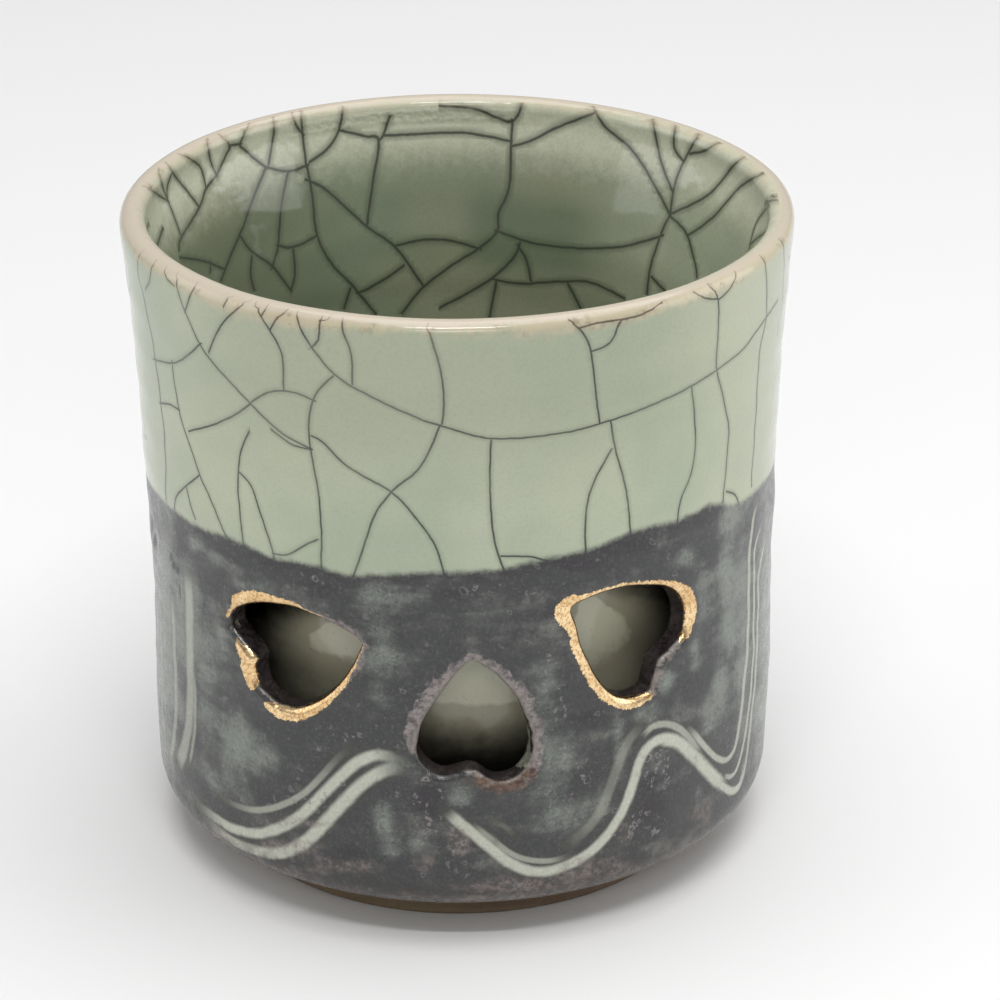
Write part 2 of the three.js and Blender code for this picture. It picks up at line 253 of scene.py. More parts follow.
# Cracks in the glaze of the bowl, on the far wall that shows over the near rim
BOWL_CRACKS = {
    "star_up": (
        (177, 250), (179, 239), (198, 208), (205, 189), (216, 176), (226, 156), (230, 146), (216, 133),
    ),
    "star_left": ((198, 208), (184, 189), (172, 174), (162, 158)),
    "star_two": ((179, 235), (167, 202), (160, 182), (154, 163)),
    "star_arm": ((167, 202), (152, 192), (141, 186)),
    "star_low": ((167, 202), (166, 190), (170, 176)),
    "chain": ((249, 124), (240, 145), (242, 148), (254, 159), (266, 168)),
    "chain_left": ((240, 145), (231, 146)),
    "chain_one": ((216, 176), (210, 160), (206, 140)),
    "chain_two": ((205, 189), (200, 168), (186, 158), (176, 154)),
    "shelf": ((266, 168), (288, 172), (307, 166)),
    "long_lean": ((266, 168), (252, 201), (240, 232), (229, 258), (220, 280)),
    "fan_one": ((288, 173), (281, 206), (278, 246), (272, 267)),
    "fan_two": ((307, 166), (312, 193), (317, 235), (331, 263), (351, 284), (375, 313)),
    "slope": ((308, 181), (327, 191), (366, 226), (396, 248), (424, 287)),
    "far_pole": ((367, 227), (373, 183), (379, 141), (366, 137), (340, 131)),
    "far_pole_up": ((379, 141), (384, 135), (390, 117)),
    "far_bar": ((384, 136), (414, 135), (450, 133), (474, 134), (510, 141)),
    "far_lean": ((309, 163), (327, 150), (339, 132), (343, 109)),
    "band_one": ((301, 113), (303, 135), (306, 166)),
    "band_two": ((273, 117), (274, 135), (268, 167)),
    "band_three": ((291, 113), (297, 127), (303, 135)),
    "zig": ((240, 237), (251, 251), (273, 267), (291, 291)),
    "box_one": ((278, 246), (294, 247), (317, 236)),
    "box_two": ((293, 248), (295, 274), (291, 289)),
    "box_three": ((252, 254), (250, 274), (254, 289)),
    "floor_left": ((178, 258), (201, 261), (223, 269)),
    "floor_tick": ((209, 262), (209, 272)),
    "low_step": ((357, 293), (368, 289), (385, 279), (404, 266)),
    "arch": ((396, 246), (424, 240), (450, 241), (479, 249)),
    "sweep": (
        (401, 315), (424, 287), (450, 267), (477, 250), (497, 232), (498, 214), (509, 188), (511, 147),
        (512, 122),
    ),
    "low_left": ((344, 310), (351, 287)),
    "right_lean": ((511, 146), (532, 140), (555, 128), (592, 113)),
    "far_top": ((440, 106), (474, 109), (495, 117), (511, 122), (518, 115), (521, 106)),
    "long_bar": ((497, 231), (532, 243), (578, 248), (624, 246), (663, 235)),
    "second_sweep": ((520, 243), (515, 256), (494, 277), (463, 296), (440, 308)),
    "drop": ((518, 246), (527, 262), (531, 281)),
    "floor_bar": ((495, 280), (520, 284), (550, 282), (582, 281), (601, 286), (624, 298)),
    "floor_leg": ((496, 282), (490, 316)),
    "floor_leg_two": ((569, 285), (580, 307)),
    "ray_one": ((670, 214), (674, 188), (683, 161), (699, 133)),
    "ray_two": ((670, 214), (647, 170), (628, 145), (605, 126), (593, 106)),
    "ray_three": ((672, 188), (660, 156), (653, 119)),
    "ray_four": ((683, 160), (674, 145), (676, 122)),
    "ray_five": ((670, 214), (660, 236), (651, 266), (647, 292)),
    "ray_six": ((671, 216), (679, 223), (688, 236), (695, 264), (697, 276)),
    "ray_seven": ((671, 213), (709, 193), (734, 163), (752, 151)),
    "ray_eight": ((688, 235), (715, 214), (741, 184), (766, 170)),
    "ray_nine": ((690, 152), (704, 149), (720, 140)),
    "right_low": ((780, 193), (759, 216), (750, 246)),
    "right_fork": ((653, 278), (665, 291)),
}

# Slip trailed over the dark glaze, and one painted sheen at its left edge: the route in the photograph's
# frame, half its width there in pixels, how strongly it covers, and how far its two ends take to fade in
# millimetres
SLIP_STROKES = {
    "left_wave_top": (
        ((218, 796), (236, 805), (254, 810), (276, 807), (300, 796), (318, 780), (334, 762),
         (352, 744)), 3.3, 0.6, 8, 9),
    "left_wave_middle": (
        ((194, 803), (210, 814), (228, 826), (246, 832), (262, 833), (284, 826), (304, 813), (322, 795),
         (340, 777), (356, 763), (374, 755), (390, 756), (402, 762)), 5.4, 1.0, 8, 4),
    "left_wave_low": (
        ((198, 814), (214, 828), (232, 842), (254, 851), (280, 853), (302, 844), (322, 826), (342, 804),
         (362, 784), (380, 772), (394, 768), (404, 768)), 6.2, 1.0, 8, 4),
    "right_wave": (
        ((446, 811), (460, 823), (476, 836), (494, 851), (510, 863), (530, 871), (550, 871), (568, 865),
         (586, 855), (604, 839), (617, 821), (627, 801), (635, 778), (640, 760), (650, 745), (665, 738),
         (680, 743)), 5.5, 1.0, 2, 0),
    "right_descent": (
        ((660, 739), (676, 741), (692, 754), (706, 769), (718, 781), (728, 789)), 6.6, 1.0, 1, 4),
    "right_turn": (
        ((706, 771), (719, 783), (731, 791), (739, 786), (743, 772), (746, 750)), 4.2, 0.95, 2, 5),
    "right_wave_inner": (
        ((488, 832), (500, 846), (518, 857), (538, 861), (556, 860), (570, 855)), 3, 0.6, 3, 3),
    "right_wave_lip": (((470, 824), (486, 836), (502, 849)), 4, 0.5, 2, 2),
    "right_crest": (
        ((643, 737), (652, 727), (665, 724), (678, 728), (689, 738), (703, 757)), 3.5, 0.65, 1, 3),
    "right_inner": (
        ((684, 726), (692, 732), (700, 741), (708, 750), (717, 758), (726, 760), (734, 750), (739, 724),
         (742, 691), (746, 650), (747, 618), (748, 590), (749, 560), (751, 534), (754, 515),
         (759, 500)), 3.2, 0.8, 4, 3),
    "right_middle": (
        ((724, 776), (732, 776), (738, 766), (743, 745), (747, 717), (750, 679), (752, 650), (752, 618),
         (753, 590), (754, 555), (758, 534), (763, 516)), 2.6, 0.8, 1, 3),
    "right_upright": (
        ((731, 791), (739, 787), (744, 772), (748, 745), (751, 710), (754, 670), (756, 620), (757, 583),
         (759, 565), (763, 547), (766, 530)), 3.0, 0.75, 0, 3),
    "left_upright": (
        ((189, 570), (190, 600), (190, 640), (191, 680), (190, 715), (185, 745), (178, 766)), 7.4, 0.6, 3, 2),
    "left_upright_two": (
        ((172, 590), (174, 640), (176, 690), (174, 735), (169, 762)), 4.4, 0.5, 4, 3),
    "left_upright_three": (((194, 660), (196, 700), (194, 738), (189, 766)), 2.6, 0.5, 4, 2),
    "front_hook": (((492, 821), (504, 826), (516, 837)), 2.6, 0.3, 3, 3),
    "right_shade": (
        ((566, 846), (586, 830), (601, 810), (611, 786), (619, 762), (629, 741),
         (645, 723)), 5.5, 0.26, 4, 3),
    # Painted sheen: a faint pale stroke along the far left edge, where the side light shows
    "left_edge_painted_sheen": (((160, 600), (161, 690), (165, 740), (171, 768)), 4, 0.35, 5, 4),
}

# The same strokes round the back, as degrees round from the front and heights in millimetres, then
# how far below the route each one runs, half its width and its strength, and how the ends fade
BACK_WAVE = (
    (93, 45), (97, 31), (103, 17), (112, 11), (124, 16), (137, 29), (149, 35), (161, 31), (173, 19),
    (185, 12), (198, 14), (211, 26), (223, 35), (235, 35), (247, 25), (257, 15), (265, 12),
)
BACK_STROKES = ((0.0, 0.55, 1.0), (1.8, 0.4, 0.8), (3.45, 0.3, 0.6))
BACK_FADES = (6.0, 8.0)

# How much of a slip stroke's half width its edge takes to fade, inwards and outwards
SLIP_SOFTNESS = 0.46

# The celadon's lower edge behind: its height, and its waves' size, how many fit round and their start
BACK_GLAZE_LINE = 48.6
BACK_GLAZE_WAVES = ((0.8, 2.2, 0.0), (0.6, 5.1, 1.0))

# How far the hand-thrown rim dips, in millimetres: all round, towards the front, towards the right
RIM_DIP = (0.15, 0.15, 0.22)

# Small swells and dents: degrees round from the front, height, reach round and up, and how far out
SWELLS = (
    (88, 27.0, 34, 15.0, 0.42), (83, 42.5, 6, 3.0, 0.28), (-79, 42.0, 3, 1.2, -0.35),
    (-75, 40.5, 2, 1.5, -0.3))

# Cracks grown where the photograph doesn't look, in millimetres: the seed, the lowest and highest
# place, how many tries, the longest crack and how clear it keeps of others. Then the short ticks
# under the rim that some start from: first and last in radians, height, and how far each runs
GROWN_CRACKS = {
    "shell": (11, 44.0, 79.8, 520, 40.0, 2.6, (1.45, math.tau - 1.45), 79.5, (0.6, -0.5)),
    "bowl": (23, 18.0, 79.5, 900, 36.0, 2.4, (-1.6, 1.6), 79.0, (0.5, -1.0)),
}
GROWN_STRENGTH = 0.75

# Soft spots scattered behind: degrees round, height, reach round and up, and strength, each between
SCATTERED = ("sage", "plum", "blush", "froth")
SCATTER_COUNT = 26
SCATTER = ((86, 274), (5, 46), (2.5, 11), (1.2, 4.5), (0.4, 0.9))

# A hand-thrown wall: how far it is oval, how many times round, and from where; then its finger
# rings, its slow drift and the swell beside each heart, in millimetres
OVAL = ((0.10, 2, 0.4), (0.06, 3, 1.9))
FINE_RINGS = 0.035
BROAD_RINGS = 0.03
DRIFT = 0.16
HEART_SWELL = 0.16

# Lamps: name, place, what each looks at, its width and depth, and its power
LAMPS = (
    ("softbox_over", (0.12, 0.03, 1.0), (0.0, 0.0, 0.0), 1.1, 1.0, 7.5),
    ("side_left", (-1.1, 0.0, 0.42), (0.0, 0.0, 0.05), 0.9, 0.8, 3.1),
    ("side_right", (1.1, 0.0, 0.42), (0.0, 0.0, 0.05), 0.9, 0.8, 3.9),
    ("strip_high", (0.0, -0.50, 0.80), (0.0, 0.0, 0.08), 0.40, 0.045, 2.3),
    ("strip_low", (0.0, -0.75, 0.52), (0.0, 0.0, 0.08), 0.40, 0.020, 0.8),
)
TABLE_HALF = 2.0

# Vertex channels that carry the drawing, so that no two lines in one channel come near each other
CRACK_CHANNELS = 6
SLIP_CHANNELS = 5


def srgb(red, green, blue):
    """A colour read as 0 to 255 on a screen, as the linear colour that a shader takes."""
    def linear(value):
        value = value / 255.0
        return value / 12.92 if value <= 0.04045 else ((value + 0.055) / 1.055) ** 2.4
    return (linear(red), linear(green), linear(blue), 1.0)


# Further tints, for what lies in, on and beside the glazes, and for painted light and shade
TINTS = SimpleNamespace(
    # The celadon's painted shade, its specks and the halo of its cracks
    celadon_painted_shade=srgb(144, 151, 130), celadon_speckle=srgb(118, 122, 102), celadon_halo=srgb(108, 114, 98),
    salt=srgb(146, 153, 144), pepper=srgb(40, 40, 40), beside_slip=srgb(62, 60, 50),
    # The heel's tint, and the painted highlight along the glaze's lower edge
    heel=srgb(56, 46, 41), painted_edge_highlight=srgb(196, 186, 164),
    bubble_ring=srgb(136, 129, 131), bubble_pit=srgb(40, 38, 42),
    border_dark=srgb(82, 76, 76), border_pale=srgb(142, 134, 131), lip_pale=srgb(140, 132, 125),
    scorch=srgb(118, 92, 72), pinhole=srgb(30, 30, 30), cut=srgb(34, 29, 30), cut_mottle=srgb(78, 68, 70),
    flake_dark=srgb(106, 100, 96), flake_pale=srgb(142, 148, 130),
    rim_pink=srgb(196, 178, 152), rim_stain=srgb(140, 112, 88), rim_crack=srgb(84, 72, 60),
    worn_crack=srgb(112, 92, 76), leaf=(0.94, 0.72, 0.42, 1.0), tarnish=(0.42, 0.21, 0.08, 1.0),
    # In the bowl: painted light on the right and under the rim, painted shade on the left and high on the
    # right
    bowl_painted_light_right=srgb(186, 190, 166), bowl_painted_shade_left=srgb(94, 100, 80), bowl_painted_shade_band=srgb(82, 100, 78),
    bowl_painted_light_rim=srgb(200, 202, 180), bowl_speckle=srgb(84, 90, 70), bowl_halo=srgb(78, 84, 66),
    # The hollow's painted shade, painted light, painted reflection in two tones, and its own specks
    hollow_painted_shade=srgb(30, 29, 26), hollow_painted_light=srgb(164, 160, 138), hollow_painted_reflection=srgb(202, 200, 176),
    hollow_painted_reflection_cool=srgb(190, 190, 168), hollow_specks=srgb(70, 70, 58),
    clay_warm=srgb(104, 84, 66), clay_specks=srgb(66, 52, 42),
)


def length(name, description, default):
    """A length property in metres."""
    return FloatProperty(name=name, description=description, default=default, unit="LENGTH", precision=5)


def colour(name, description, default):
    """A colour property with its alpha."""
    return FloatVectorProperty(
        name=name, description=description, default=default, subtype="COLOR", size=4, min=0.0, max=1.0)


class TeacupShape(bpy.types.PropertyGroup):
    """Sizes of the thrown body"""

    height: length("Height", "From the table to the top of the rim", CUP_HIGH.z - CUP_LOW.z)
    rim_radius: length("Rim radius", "Outside radius at the rim", CUP_HIGH.x)
    chest_radius: length("Chest radius", "Outside radius under the rim's flare", 0.0388)
    chest_height: length("Chest height", "Where the chest radius is measured", 0.060)
    waist_radius: length("Waist radius", "Outside radius at the narrowest place", 0.0381)
    waist_height: length("Waist height", "Where the waist radius is measured", 0.036)
    belly_radius: length("Belly radius", "Outside radius under the waist", 0.03825)
    belly_height: length("Belly height", "Where the belly radius is measured", 0.020)
    heel_radius: length("Heel radius", "Outside radius where the side turns under", 0.0381)
    heel_height: length("Heel height", "Where the side turns under", 0.0103)
    foot_radius: length("Foot radius", "Outside radius of the foot ring", 0.0294)
    foot_width: length("Foot width", "Width of the foot ring", 0.005)
    foot_height: length("Foot height", "From the table to the underside of the heel", 0.0042)
    foot_recess: length("Foot recess", "Depth of the hollow inside the foot ring", 0.003)
    rim_thickness: length("Rim thickness", "Thickness of the rounded rim", 0.003)
    shell_wall: length("Shell wall", "Thickness of the outer wall", 0.003)
    inner_wall: length("Inner wall", "Thickness of the bowl's wall", 0.0027)
    hollow: length("Hollow", "Width of the hollow between the walls", 0.0042)
    hollow_top: length("Hollow at its top", "Width of the hollow where the walls join", 0.0017)
    joint_depth: length("Joint depth", "From the rim down to the hollow", 0.019)
    heart_lip: length("Heart lip", "Radius of the rounded lip round each heart", 0.0008)


class TeacupColours(bpy.types.PropertyGroup):
    """Colours of the glazes, the clay and the gold"""

    celadon: colour("Celadon", "Pale glaze outside", srgb(179, 184, 161))
    celadon_cool: colour("Cool celadon", "Where the pale glaze pools", srgb(161, 171, 149))
    bowl: colour("Bowl glaze", "Olive glaze inside the bowl", srgb(129, 133, 110))
    bowl_deep: colour("Deep bowl glaze", "Where the bowl's glaze is greener", srgb(112, 124, 102))
    rim: colour("Rim", "Thin glaze over clay at the rim", srgb(190, 179, 162))
    crack: colour("Crack", "Stain in the cracks", srgb(54, 58, 50))
    slate: colour("Slate", "Dark glaze", srgb(54, 55, 55))
    plum: colour("Plum", "Iron in the dark glaze", srgb(44, 40, 44))
    # Also the colour of the painted sheen along the dark glaze's left and right edges
    sage: colour("Sage", "Green-grey clouds in the dark glaze", srgb(122, 127, 120))
    slip: colour("Slip", "Pale slip strokes", srgb(186, 188, 174))
    blush: colour("Blush", "Thin pinkish glaze at the openings and the heel", srgb(124, 112, 107))
    rust: colour("Rust", "Iron breaking through at the front heart", srgb(58, 38, 30))
    clay: colour("Clay", "Bare clay of the foot", srgb(118, 102, 78))
    gold: colour("Gold", "Gold on the edges of the side hearts", (0.78, 0.54, 0.28, 1.0))


class TeacupStage(bpy.types.PropertyGroup):
    """Camera, light and floor"""

    distance: length("Distance", "From the camera to the middle of the cup", 0.450)
    aim_height: length("Aim height", "Height on the cup's axis that the camera turns about", 0.041)
    elevation: FloatProperty(name="Elevation", description="Camera's angle above the table",
                             default=math.radians(24.577), subtype="ANGLE")
    roll: FloatProperty(name="Roll", description="Camera's tilt about its own line of sight",
                        default=math.radians(-0.557), subtype="ANGLE")
    lens: FloatProperty(name="Lens", description="Focal length on a 36 mm wide sensor, in millimetres",
                        default=131.7)
    shift_x: FloatProperty(name="Shift X", description="Camera's shift to the side", default=0.0401)
    shift_y: FloatProperty(name="Shift Y", description="Camera's shift upwards", default=0.0039)
    sky: FloatProperty(name="Sky", description="Strength of the even white light all round", default=0.34)
    floor: colour("Floor", "Pale table", (0.80, 0.80, 0.80, 1.0))


def catmull_rom(points, steps):
    """A smooth curve through points, with this many stretches between each two."""
    held = np.asarray(points, float)
    held = np.vstack([held[:1], held, held[-1:]])
    t = (np.arange(steps) / steps)[:, None]
    stretches = []
    for a, b, c, d in zip(held[:-3], held[1:-2], held[2:-1], held[3:]):
        stretches.append(b + (c - a) * t / 2 + (a - 2.5 * b + 2 * c - d / 2) * t ** 2
                         + (1.5 * (b - c) + (d - a) / 2) * t ** 3)
    return np.vstack(stretches + [held[-1:]])


def closed_curve(points, steps):
    """A smooth closed curve through points."""
    held = np.asarray(points, float)
    wrapped = np.vstack([held[-2:], held, held[:3]])
    curve = catmull_rom(wrapped, steps)
    return curve[2 * steps:(2 + len(held)) * steps]


def bezier(a, b, c, d, steps):
    """A cubic curve from a to d, without its first point."""
    t = (np.arange(1, steps + 1) / steps)[:, None]
    a, b, c, d = (np.asarray(point, float) for point in (a, b, c, d))
    return (1 - t) ** 3 * a + 3 * (1 - t) ** 2 * t * b + 3 * (1 - t) * t ** 2 * c + t ** 3 * d


def arc(centre, radius, start, end, steps):
    """A circle's arc between two angles in degrees, without its first point."""
    angle = np.radians(np.linspace(start, end, steps + 1)[1:])
    return np.column_stack([centre[0] + radius * np.cos(angle), centre[1] + radius * np.sin(angle)])


def smoothstep(value, low, high):
    """0 at low, 1 at high and a smooth rise between."""
    t = np.clip((value - low) / (high - low), 0.0, 1.0)
    return t * t * (3 - 2 * t)


class Profile:
    """The cup's section in millimetres: radii against heights, and its outlines."""

    EDGE = 0.6
    FOOT_DRAFT = 0.4
    HEEL_RISE = 0.3
    HEEL_TURN = 1.9
    HEEL_ROUND = 4.0
    BASE = 3.8
    UNDER_GAP = 4.2
    FLOOR = 3.2
    FLARE = 1.1
    FLARE_DEPTH = 6.0
    BLEND = 5.0
    BOWL_CORNER = 12.0
    HOLLOW_CORNER = 6.0

    def __init__(self, shape):
        for name in TeacupShape.__annotations__:
            setattr(self, name, getattr(shape, name) / MM)
        self.rim_middle = self.height - self.rim_thickness / 2
        face = catmull_rom([
            (self.heel_radius, self.heel_height), (self.belly_radius, self.belly_height),
            (self.waist_radius, self.waist_height), (self.chest_radius, self.chest_height),
            (self.rim_radius, self.rim_middle)], 60)
        self._face = face
        self.hollow_height = self.height - self.joint_depth
        self.heel_under = self.foot_height + self.HEEL_RISE
        self.hollow_floor = self.heel_under + self.BASE
        self.inner_under = self.hollow_floor + self.UNDER_GAP
        self.bowl_floor = self.inner_under + self.FLOOR

    def shell(self, height):
        """Outside radius of the shell."""
        return np.interp(height, self._face[:, 1], self._face[:, 0])

    def inner_shell(self, height):
        """Radius of the shell's hidden face."""
        return self.shell(height) - self.shell_wall

    def bowl_outside(self, height):
        """Radius of the bowl's hidden face."""
        closing = smoothstep(height, self.waist_height, self.hollow_height)
        return self.inner_shell(height) - self.hollow + (self.hollow - self.hollow_top) * closing

    def bowl(self, height):
        """Inside radius of the bowl."""
        return self.bowl_outside(height) - self.inner_wall

    def follow(self, radius_at, start, end, step):
        """Points down or up one face, without the first."""
        count = max(2, int(round(abs(end - start) / step)))
        height = np.linspace(start, end, count + 1)[1:]
        return np.column_stack([radius_at(height), height])

    def corner(self, radius, height, size, steps):
        """The rounded corner between an upright wall and a floor that runs to the axis."""
        return bezier((radius(height + size), height + size), (radius(height), height + size / 3),
                      (radius(height) - size / 2, height), (radius(height) - size, height), steps)

    def body(self, step):
        """Foot, shell, rim and bowl, from the axis under the cup to the axis in its bowl."""
        foot_in = self.foot_radius - self.foot_width
        rim_in = self.rim_radius - self.rim_thickness
        rim_round = self.rim_thickness / 2
        edge = self.EDGE
        foot_top = self.foot_radius - self.FOOT_DRAFT
        flare = np.array([rim_in - self.FLARE, self.height - self.FLARE_DEPTH])
        lean = self.FLARE / (self.FLARE_DEPTH / 2)
        bowl_top = self.hollow_height - self.BLEND
        blend = (flare[1] - bowl_top) / 3
        control = np.array([rim_in, self.height - self.FLARE_DEPTH / 2])
        rim_start = np.array([rim_in, self.rim_middle])
        floor_edge = self.bowl(self.bowl_floor) - self.BOWL_CORNER
        recess = np.linspace((0, self.foot_recess), (foot_in - self.FOOT_DRAFT - edge, self.foot_recess), 12)
        parts = [
            recess,
            arc((foot_in - self.FOOT_DRAFT - edge, self.foot_recess - edge), edge, 90, 0, 4),
            arc((foot_in + edge, edge), edge, 180, 270, 5),
            np.linspace((foot_in + edge, 0), (self.foot_radius - edge, 0), 6)[1:],
            arc((self.foot_radius - edge, edge), edge, 270, 360, 5),
            np.linspace((self.foot_radius, edge), (foot_top, self.foot_height), 6)[1:],
            bezier((foot_top, self.foot_height), (self.heel_radius - self.HEEL_TURN, self.heel_under),
                   (self.heel_radius, self.heel_height - self.HEEL_ROUND),
                   (self.heel_radius, self.heel_height), 20),
            self.follow(self.shell, self.heel_height, self.rim_middle, step),
            arc((self.rim_radius - rim_round, self.rim_middle), rim_round, 0, 180, 12),
            bezier(rim_start, rim_start + (control - rim_start) * 2 / 3, flare + (control - flare) * 2 / 3,
                   flare, 7),
            bezier(flare, flare - (lean * blend, blend), (self.bowl(bowl_top + blend), bowl_top + blend),
                   (self.bowl(bowl_top), bowl_top), 22),
            self.follow(self.bowl, bowl_top, self.bowl_floor + self.BOWL_CORNER, step * 1.2),
            self.corner(self.bowl, self.bowl_floor, self.BOWL_CORNER, 18),
            np.linspace((floor_edge, self.bowl_floor), (0, self.bowl_floor), 12)[1:],
        ]
        outline = np.vstack(parts)
        bowl_part = outline[np.argmax(outline[:, 1]):]
        order = np.argsort(bowl_part[:, 1])
        self._bowl_face = bowl_part[order]
        return outline

    def bowl_face(self, height):
        """Inside radius of the bowl anywhere up to the rim."""
        return np.interp(height, self._bowl_face[:, 1], self._bowl_face[:, 0])

    def cavity(self, step):
        """The hollow between the walls, from the axis on its floor to the axis under the bowl."""
        radius = self.hollow_top / 2
        middle = self.inner_shell(self.hollow_height) - radius
        wall = self.inner_shell(self.hollow_floor)
        corner = self.HOLLOW_CORNER
        under_edge = self.bowl_outside(self.inner_under) - self.BOWL_CORNER
        upper = self.hollow_floor + corner
        return np.vstack([
            np.linspace((0, self.hollow_floor), (wall - corner, self.hollow_floor), 6),
            bezier((wall - corner, self.hollow_floor), (wall - corner / 3, self.hollow_floor),
                   (wall, upper - corner * 2 / 3), (self.inner_shell(upper), upper), 6),
            self.follow(self.inner_shell, upper, self.hollow_height, step),
            arc((middle, self.hollow_height), radius, 0, 180, 6),
            self.follow(self.bowl_outside, self.hollow_height, self.inner_under + self.BOWL_CORNER, step),
            self.corner(self.bowl_outside, self.inner_under, self.BOWL_CORNER, 8),
            np.linspace((under_edge, self.inner_under), (0, self.inner_under), 6)[1:],
        ])


class PhotoView:
    """The camera that the photograph was taken with, to place what its frame shows on the cup."""

    FIRST_HEIGHT = 50.0
    ROUNDS = 25

    def __init__(self, stage):
        lift = stage.elevation
        self.back = Vector((0.0, -math.cos(lift), math.sin(lift)))
        side = Vector((1.0, 0.0, 0.0))
        over = self.back.cross(side)
        self.right = side * math.cos(stage.roll) + over * math.sin(stage.roll)
        self.up = over * math.cos(stage.roll) - side * math.sin(stage.roll)
        self.eye = Vector((0.0, 0.0, stage.aim_height)) + self.back * stage.distance
        self.reach = stage.lens / SENSOR_MM * FRAME_PIXELS
        self.centre = np.array([0.5 - stage.shift_x, 0.5 + stage.shift_y]) * FRAME_PIXELS

    def matrix(self):
        """Where the camera stands and how it is turned."""
        turn = Matrix((self.right, self.up, self.back)).transposed()
        return Matrix.Translation(self.eye) @ turn.to_4x4()

    def pixels(self, points):
        """Where points of the cup, in millimetres, are in the photograph's frame."""
        offset = points - np.array(self.eye) / MM
        right, up, back = (np.array(axis) for axis in (self.right, self.up, self.back))
        depth = -(offset @ back)
        across = (offset @ right) / depth * self.reach
        down = -(offset @ up) / depth * self.reach
        return self.centre + np.column_stack([across, down])

    def on_wall_mm(self, pixels, radius_at, far=False):
        """Points of the photograph's frame on a wall of the cup, the near one or the far one.

        The wall's radius changes with height, so each place is found again with the radius there.
        """
        shifted = np.asarray(pixels, float) - self.centre
        right, up, back = (np.array(axis) for axis in (self.right, self.up, self.back))
        rays = shifted[:, :1] * right - shifted[:, 1:] * up - self.reach * back
        eye = np.array(self.eye) / MM
        radius = radius_at(np.full(len(rays), self.FIRST_HEIGHT))
        a = (rays[:, :2] ** 2).sum(1)
        b = 2 * (rays[:, :2] * eye[:2]).sum(1)
        for _ in range(self.ROUNDS):
            c = (eye[:2] ** 2).sum() - radius ** 2
            root = np.sqrt(np.maximum(b * b - 4 * a * c, 0.0))
            along = (-b + (root if far else -root)) / (2 * a)
            points = eye + rays * along[:, None]
            radius = 0.5 * (radius + radius_at(points[:, 2]))
        return points


def unrolled(points, radius):
    """Points on a wall as distance round it and height, in millimetres."""
    around = np.arctan2(points[:, 0], -points[:, 1]) * radius
    return np.column_stack([around, points[:, 2]])


def rolled(flat, radius, radius_at):
    """Flat points put back on a wall, at the wall's own radius less any depth in a third column."""
    angle = flat[:, 0] / radius
    depth = flat[:, 2] if flat.shape[1] > 2 else 0.0
    out = radius_at(flat[:, 1]) - depth
    return np.column_stack([out * np.sin(angle), -out * np.cos(angle), flat[:, 1]])


def nearest_on_line(points, line):
    """For each point: distance to a polyline, which stretch is nearest, and how far along it."""
    best = np.full(len(points), np.inf)
    stretch = np.zeros(len(points), int)
    share = np.zeros(len(points))
    for index, (start, end) in enumerate(zip(line[:-1], line[1:])):
        step = end - start
        size = max(float(step @ step), 1e-12)
        t = ((points - start) @ step) / size
        held = np.clip(t, 0.0, 1.0)
        gap = np.linalg.norm(points - start - held[:, None] * step, axis=1)
        closer = gap < best
        best[closer] = gap[closer]
        stretch[closer] = index
        share[closer] = t[closer]
    return best, stretch, share


class Heart:
    """One heart cut in the shell: its outline on the unrolled wall and its lip."""

    SAMPLES = 320
    SPREAD = 9
    HEIGHT = 38.0
    REACH = 15.0

    def __init__(self, number, name, photo, profile):
        self.number = number
        self.name = name
        pixels, self.gold = HEARTS[name]
        self.radius = float(profile.shell(self.HEIGHT))

        def edge_radius(height):
            return profile.shell(height) - profile.heart_lip / 2

        flat = unrolled(photo.on_wall_mm(pixels, edge_radius), self.radius)
        self.outline = self.evenly(closed_curve(flat, 24), self.SAMPLES)
        self.centre = self.outline.mean(0)
        self.normal = self.outward(self.outline, self.SPREAD)
        self.lip = self.outline + profile.heart_lip * self.normal
        self.lip_length = self.lengths(self.lip)

    @staticmethod
    def lengths(curve):
        """Distance along a closed curve at each of its points, and back at the first."""
        gaps = np.linalg.norm(np.roll(curve, -1, 0) - curve, axis=1)
        return np.concatenate([[0.0], np.cumsum(gaps)])

    def evenly(self, curve, count):
        """The closed curve with its points at even distances, starting at the same one."""
        along = self.lengths(curve)
        closed = np.vstack([curve, curve[:1]])
        at = np.linspace(0, along[-1], count, endpoint=False)
        return np.column_stack([np.interp(at, along, closed[:, k]) for k in (0, 1)])

    @staticmethod
    def outward(curve, spread):
        """Outward normals of a closed curve that runs clockwise, smoothed over some points each way."""
        total = np.zeros_like(curve)
        tangent = np.roll(curve, -1, 0) - np.roll(curve, 1, 0)
        normal = np.column_stack([-tangent[:, 1], tangent[:, 0]])
        normal /= np.linalg.norm(normal, axis=1)[:, None]
        if (normal * (curve - curve.mean(0))).sum() < 0:
            normal = -normal
        for shift in range(-spread, spread + 1):
            total += np.roll(normal, shift, 0)
        return total / np.linalg.norm(total, axis=1)[:, None]

    def gap(self, points, curve):
        """Signed distance from points to a closed curve, negative inside it, and the nearest index."""
        closed = np.vstack([curve, curve[:1]])
        best, stretch, share = nearest_on_line(points, closed)
        inside = np.zeros(len(points), bool)
        for start, end in zip(closed[:-1], closed[1:]):
            crosses = (start[1] > points[:, 1]) != (end[1] > points[:, 1])
            if start[1] != end[1]:
                level = start[0] + (points[:, 1] - start[1]) / (end[1] - start[1]) * (end[0] - start[0])
                inside ^= crosses & (points[:, 0] < level)
        return np.where(inside, -best, best), stretch + np.clip(share, 0, 1)

    def at(self, values, index):
        """Values that belong to the outline's points, at places between them."""
        closed = np.vstack([values, values[:1]])
        return np.column_stack([np.interp(index, np.arange(self.SAMPLES + 1), closed[:, k])
                                for k in range(values.shape[1])])


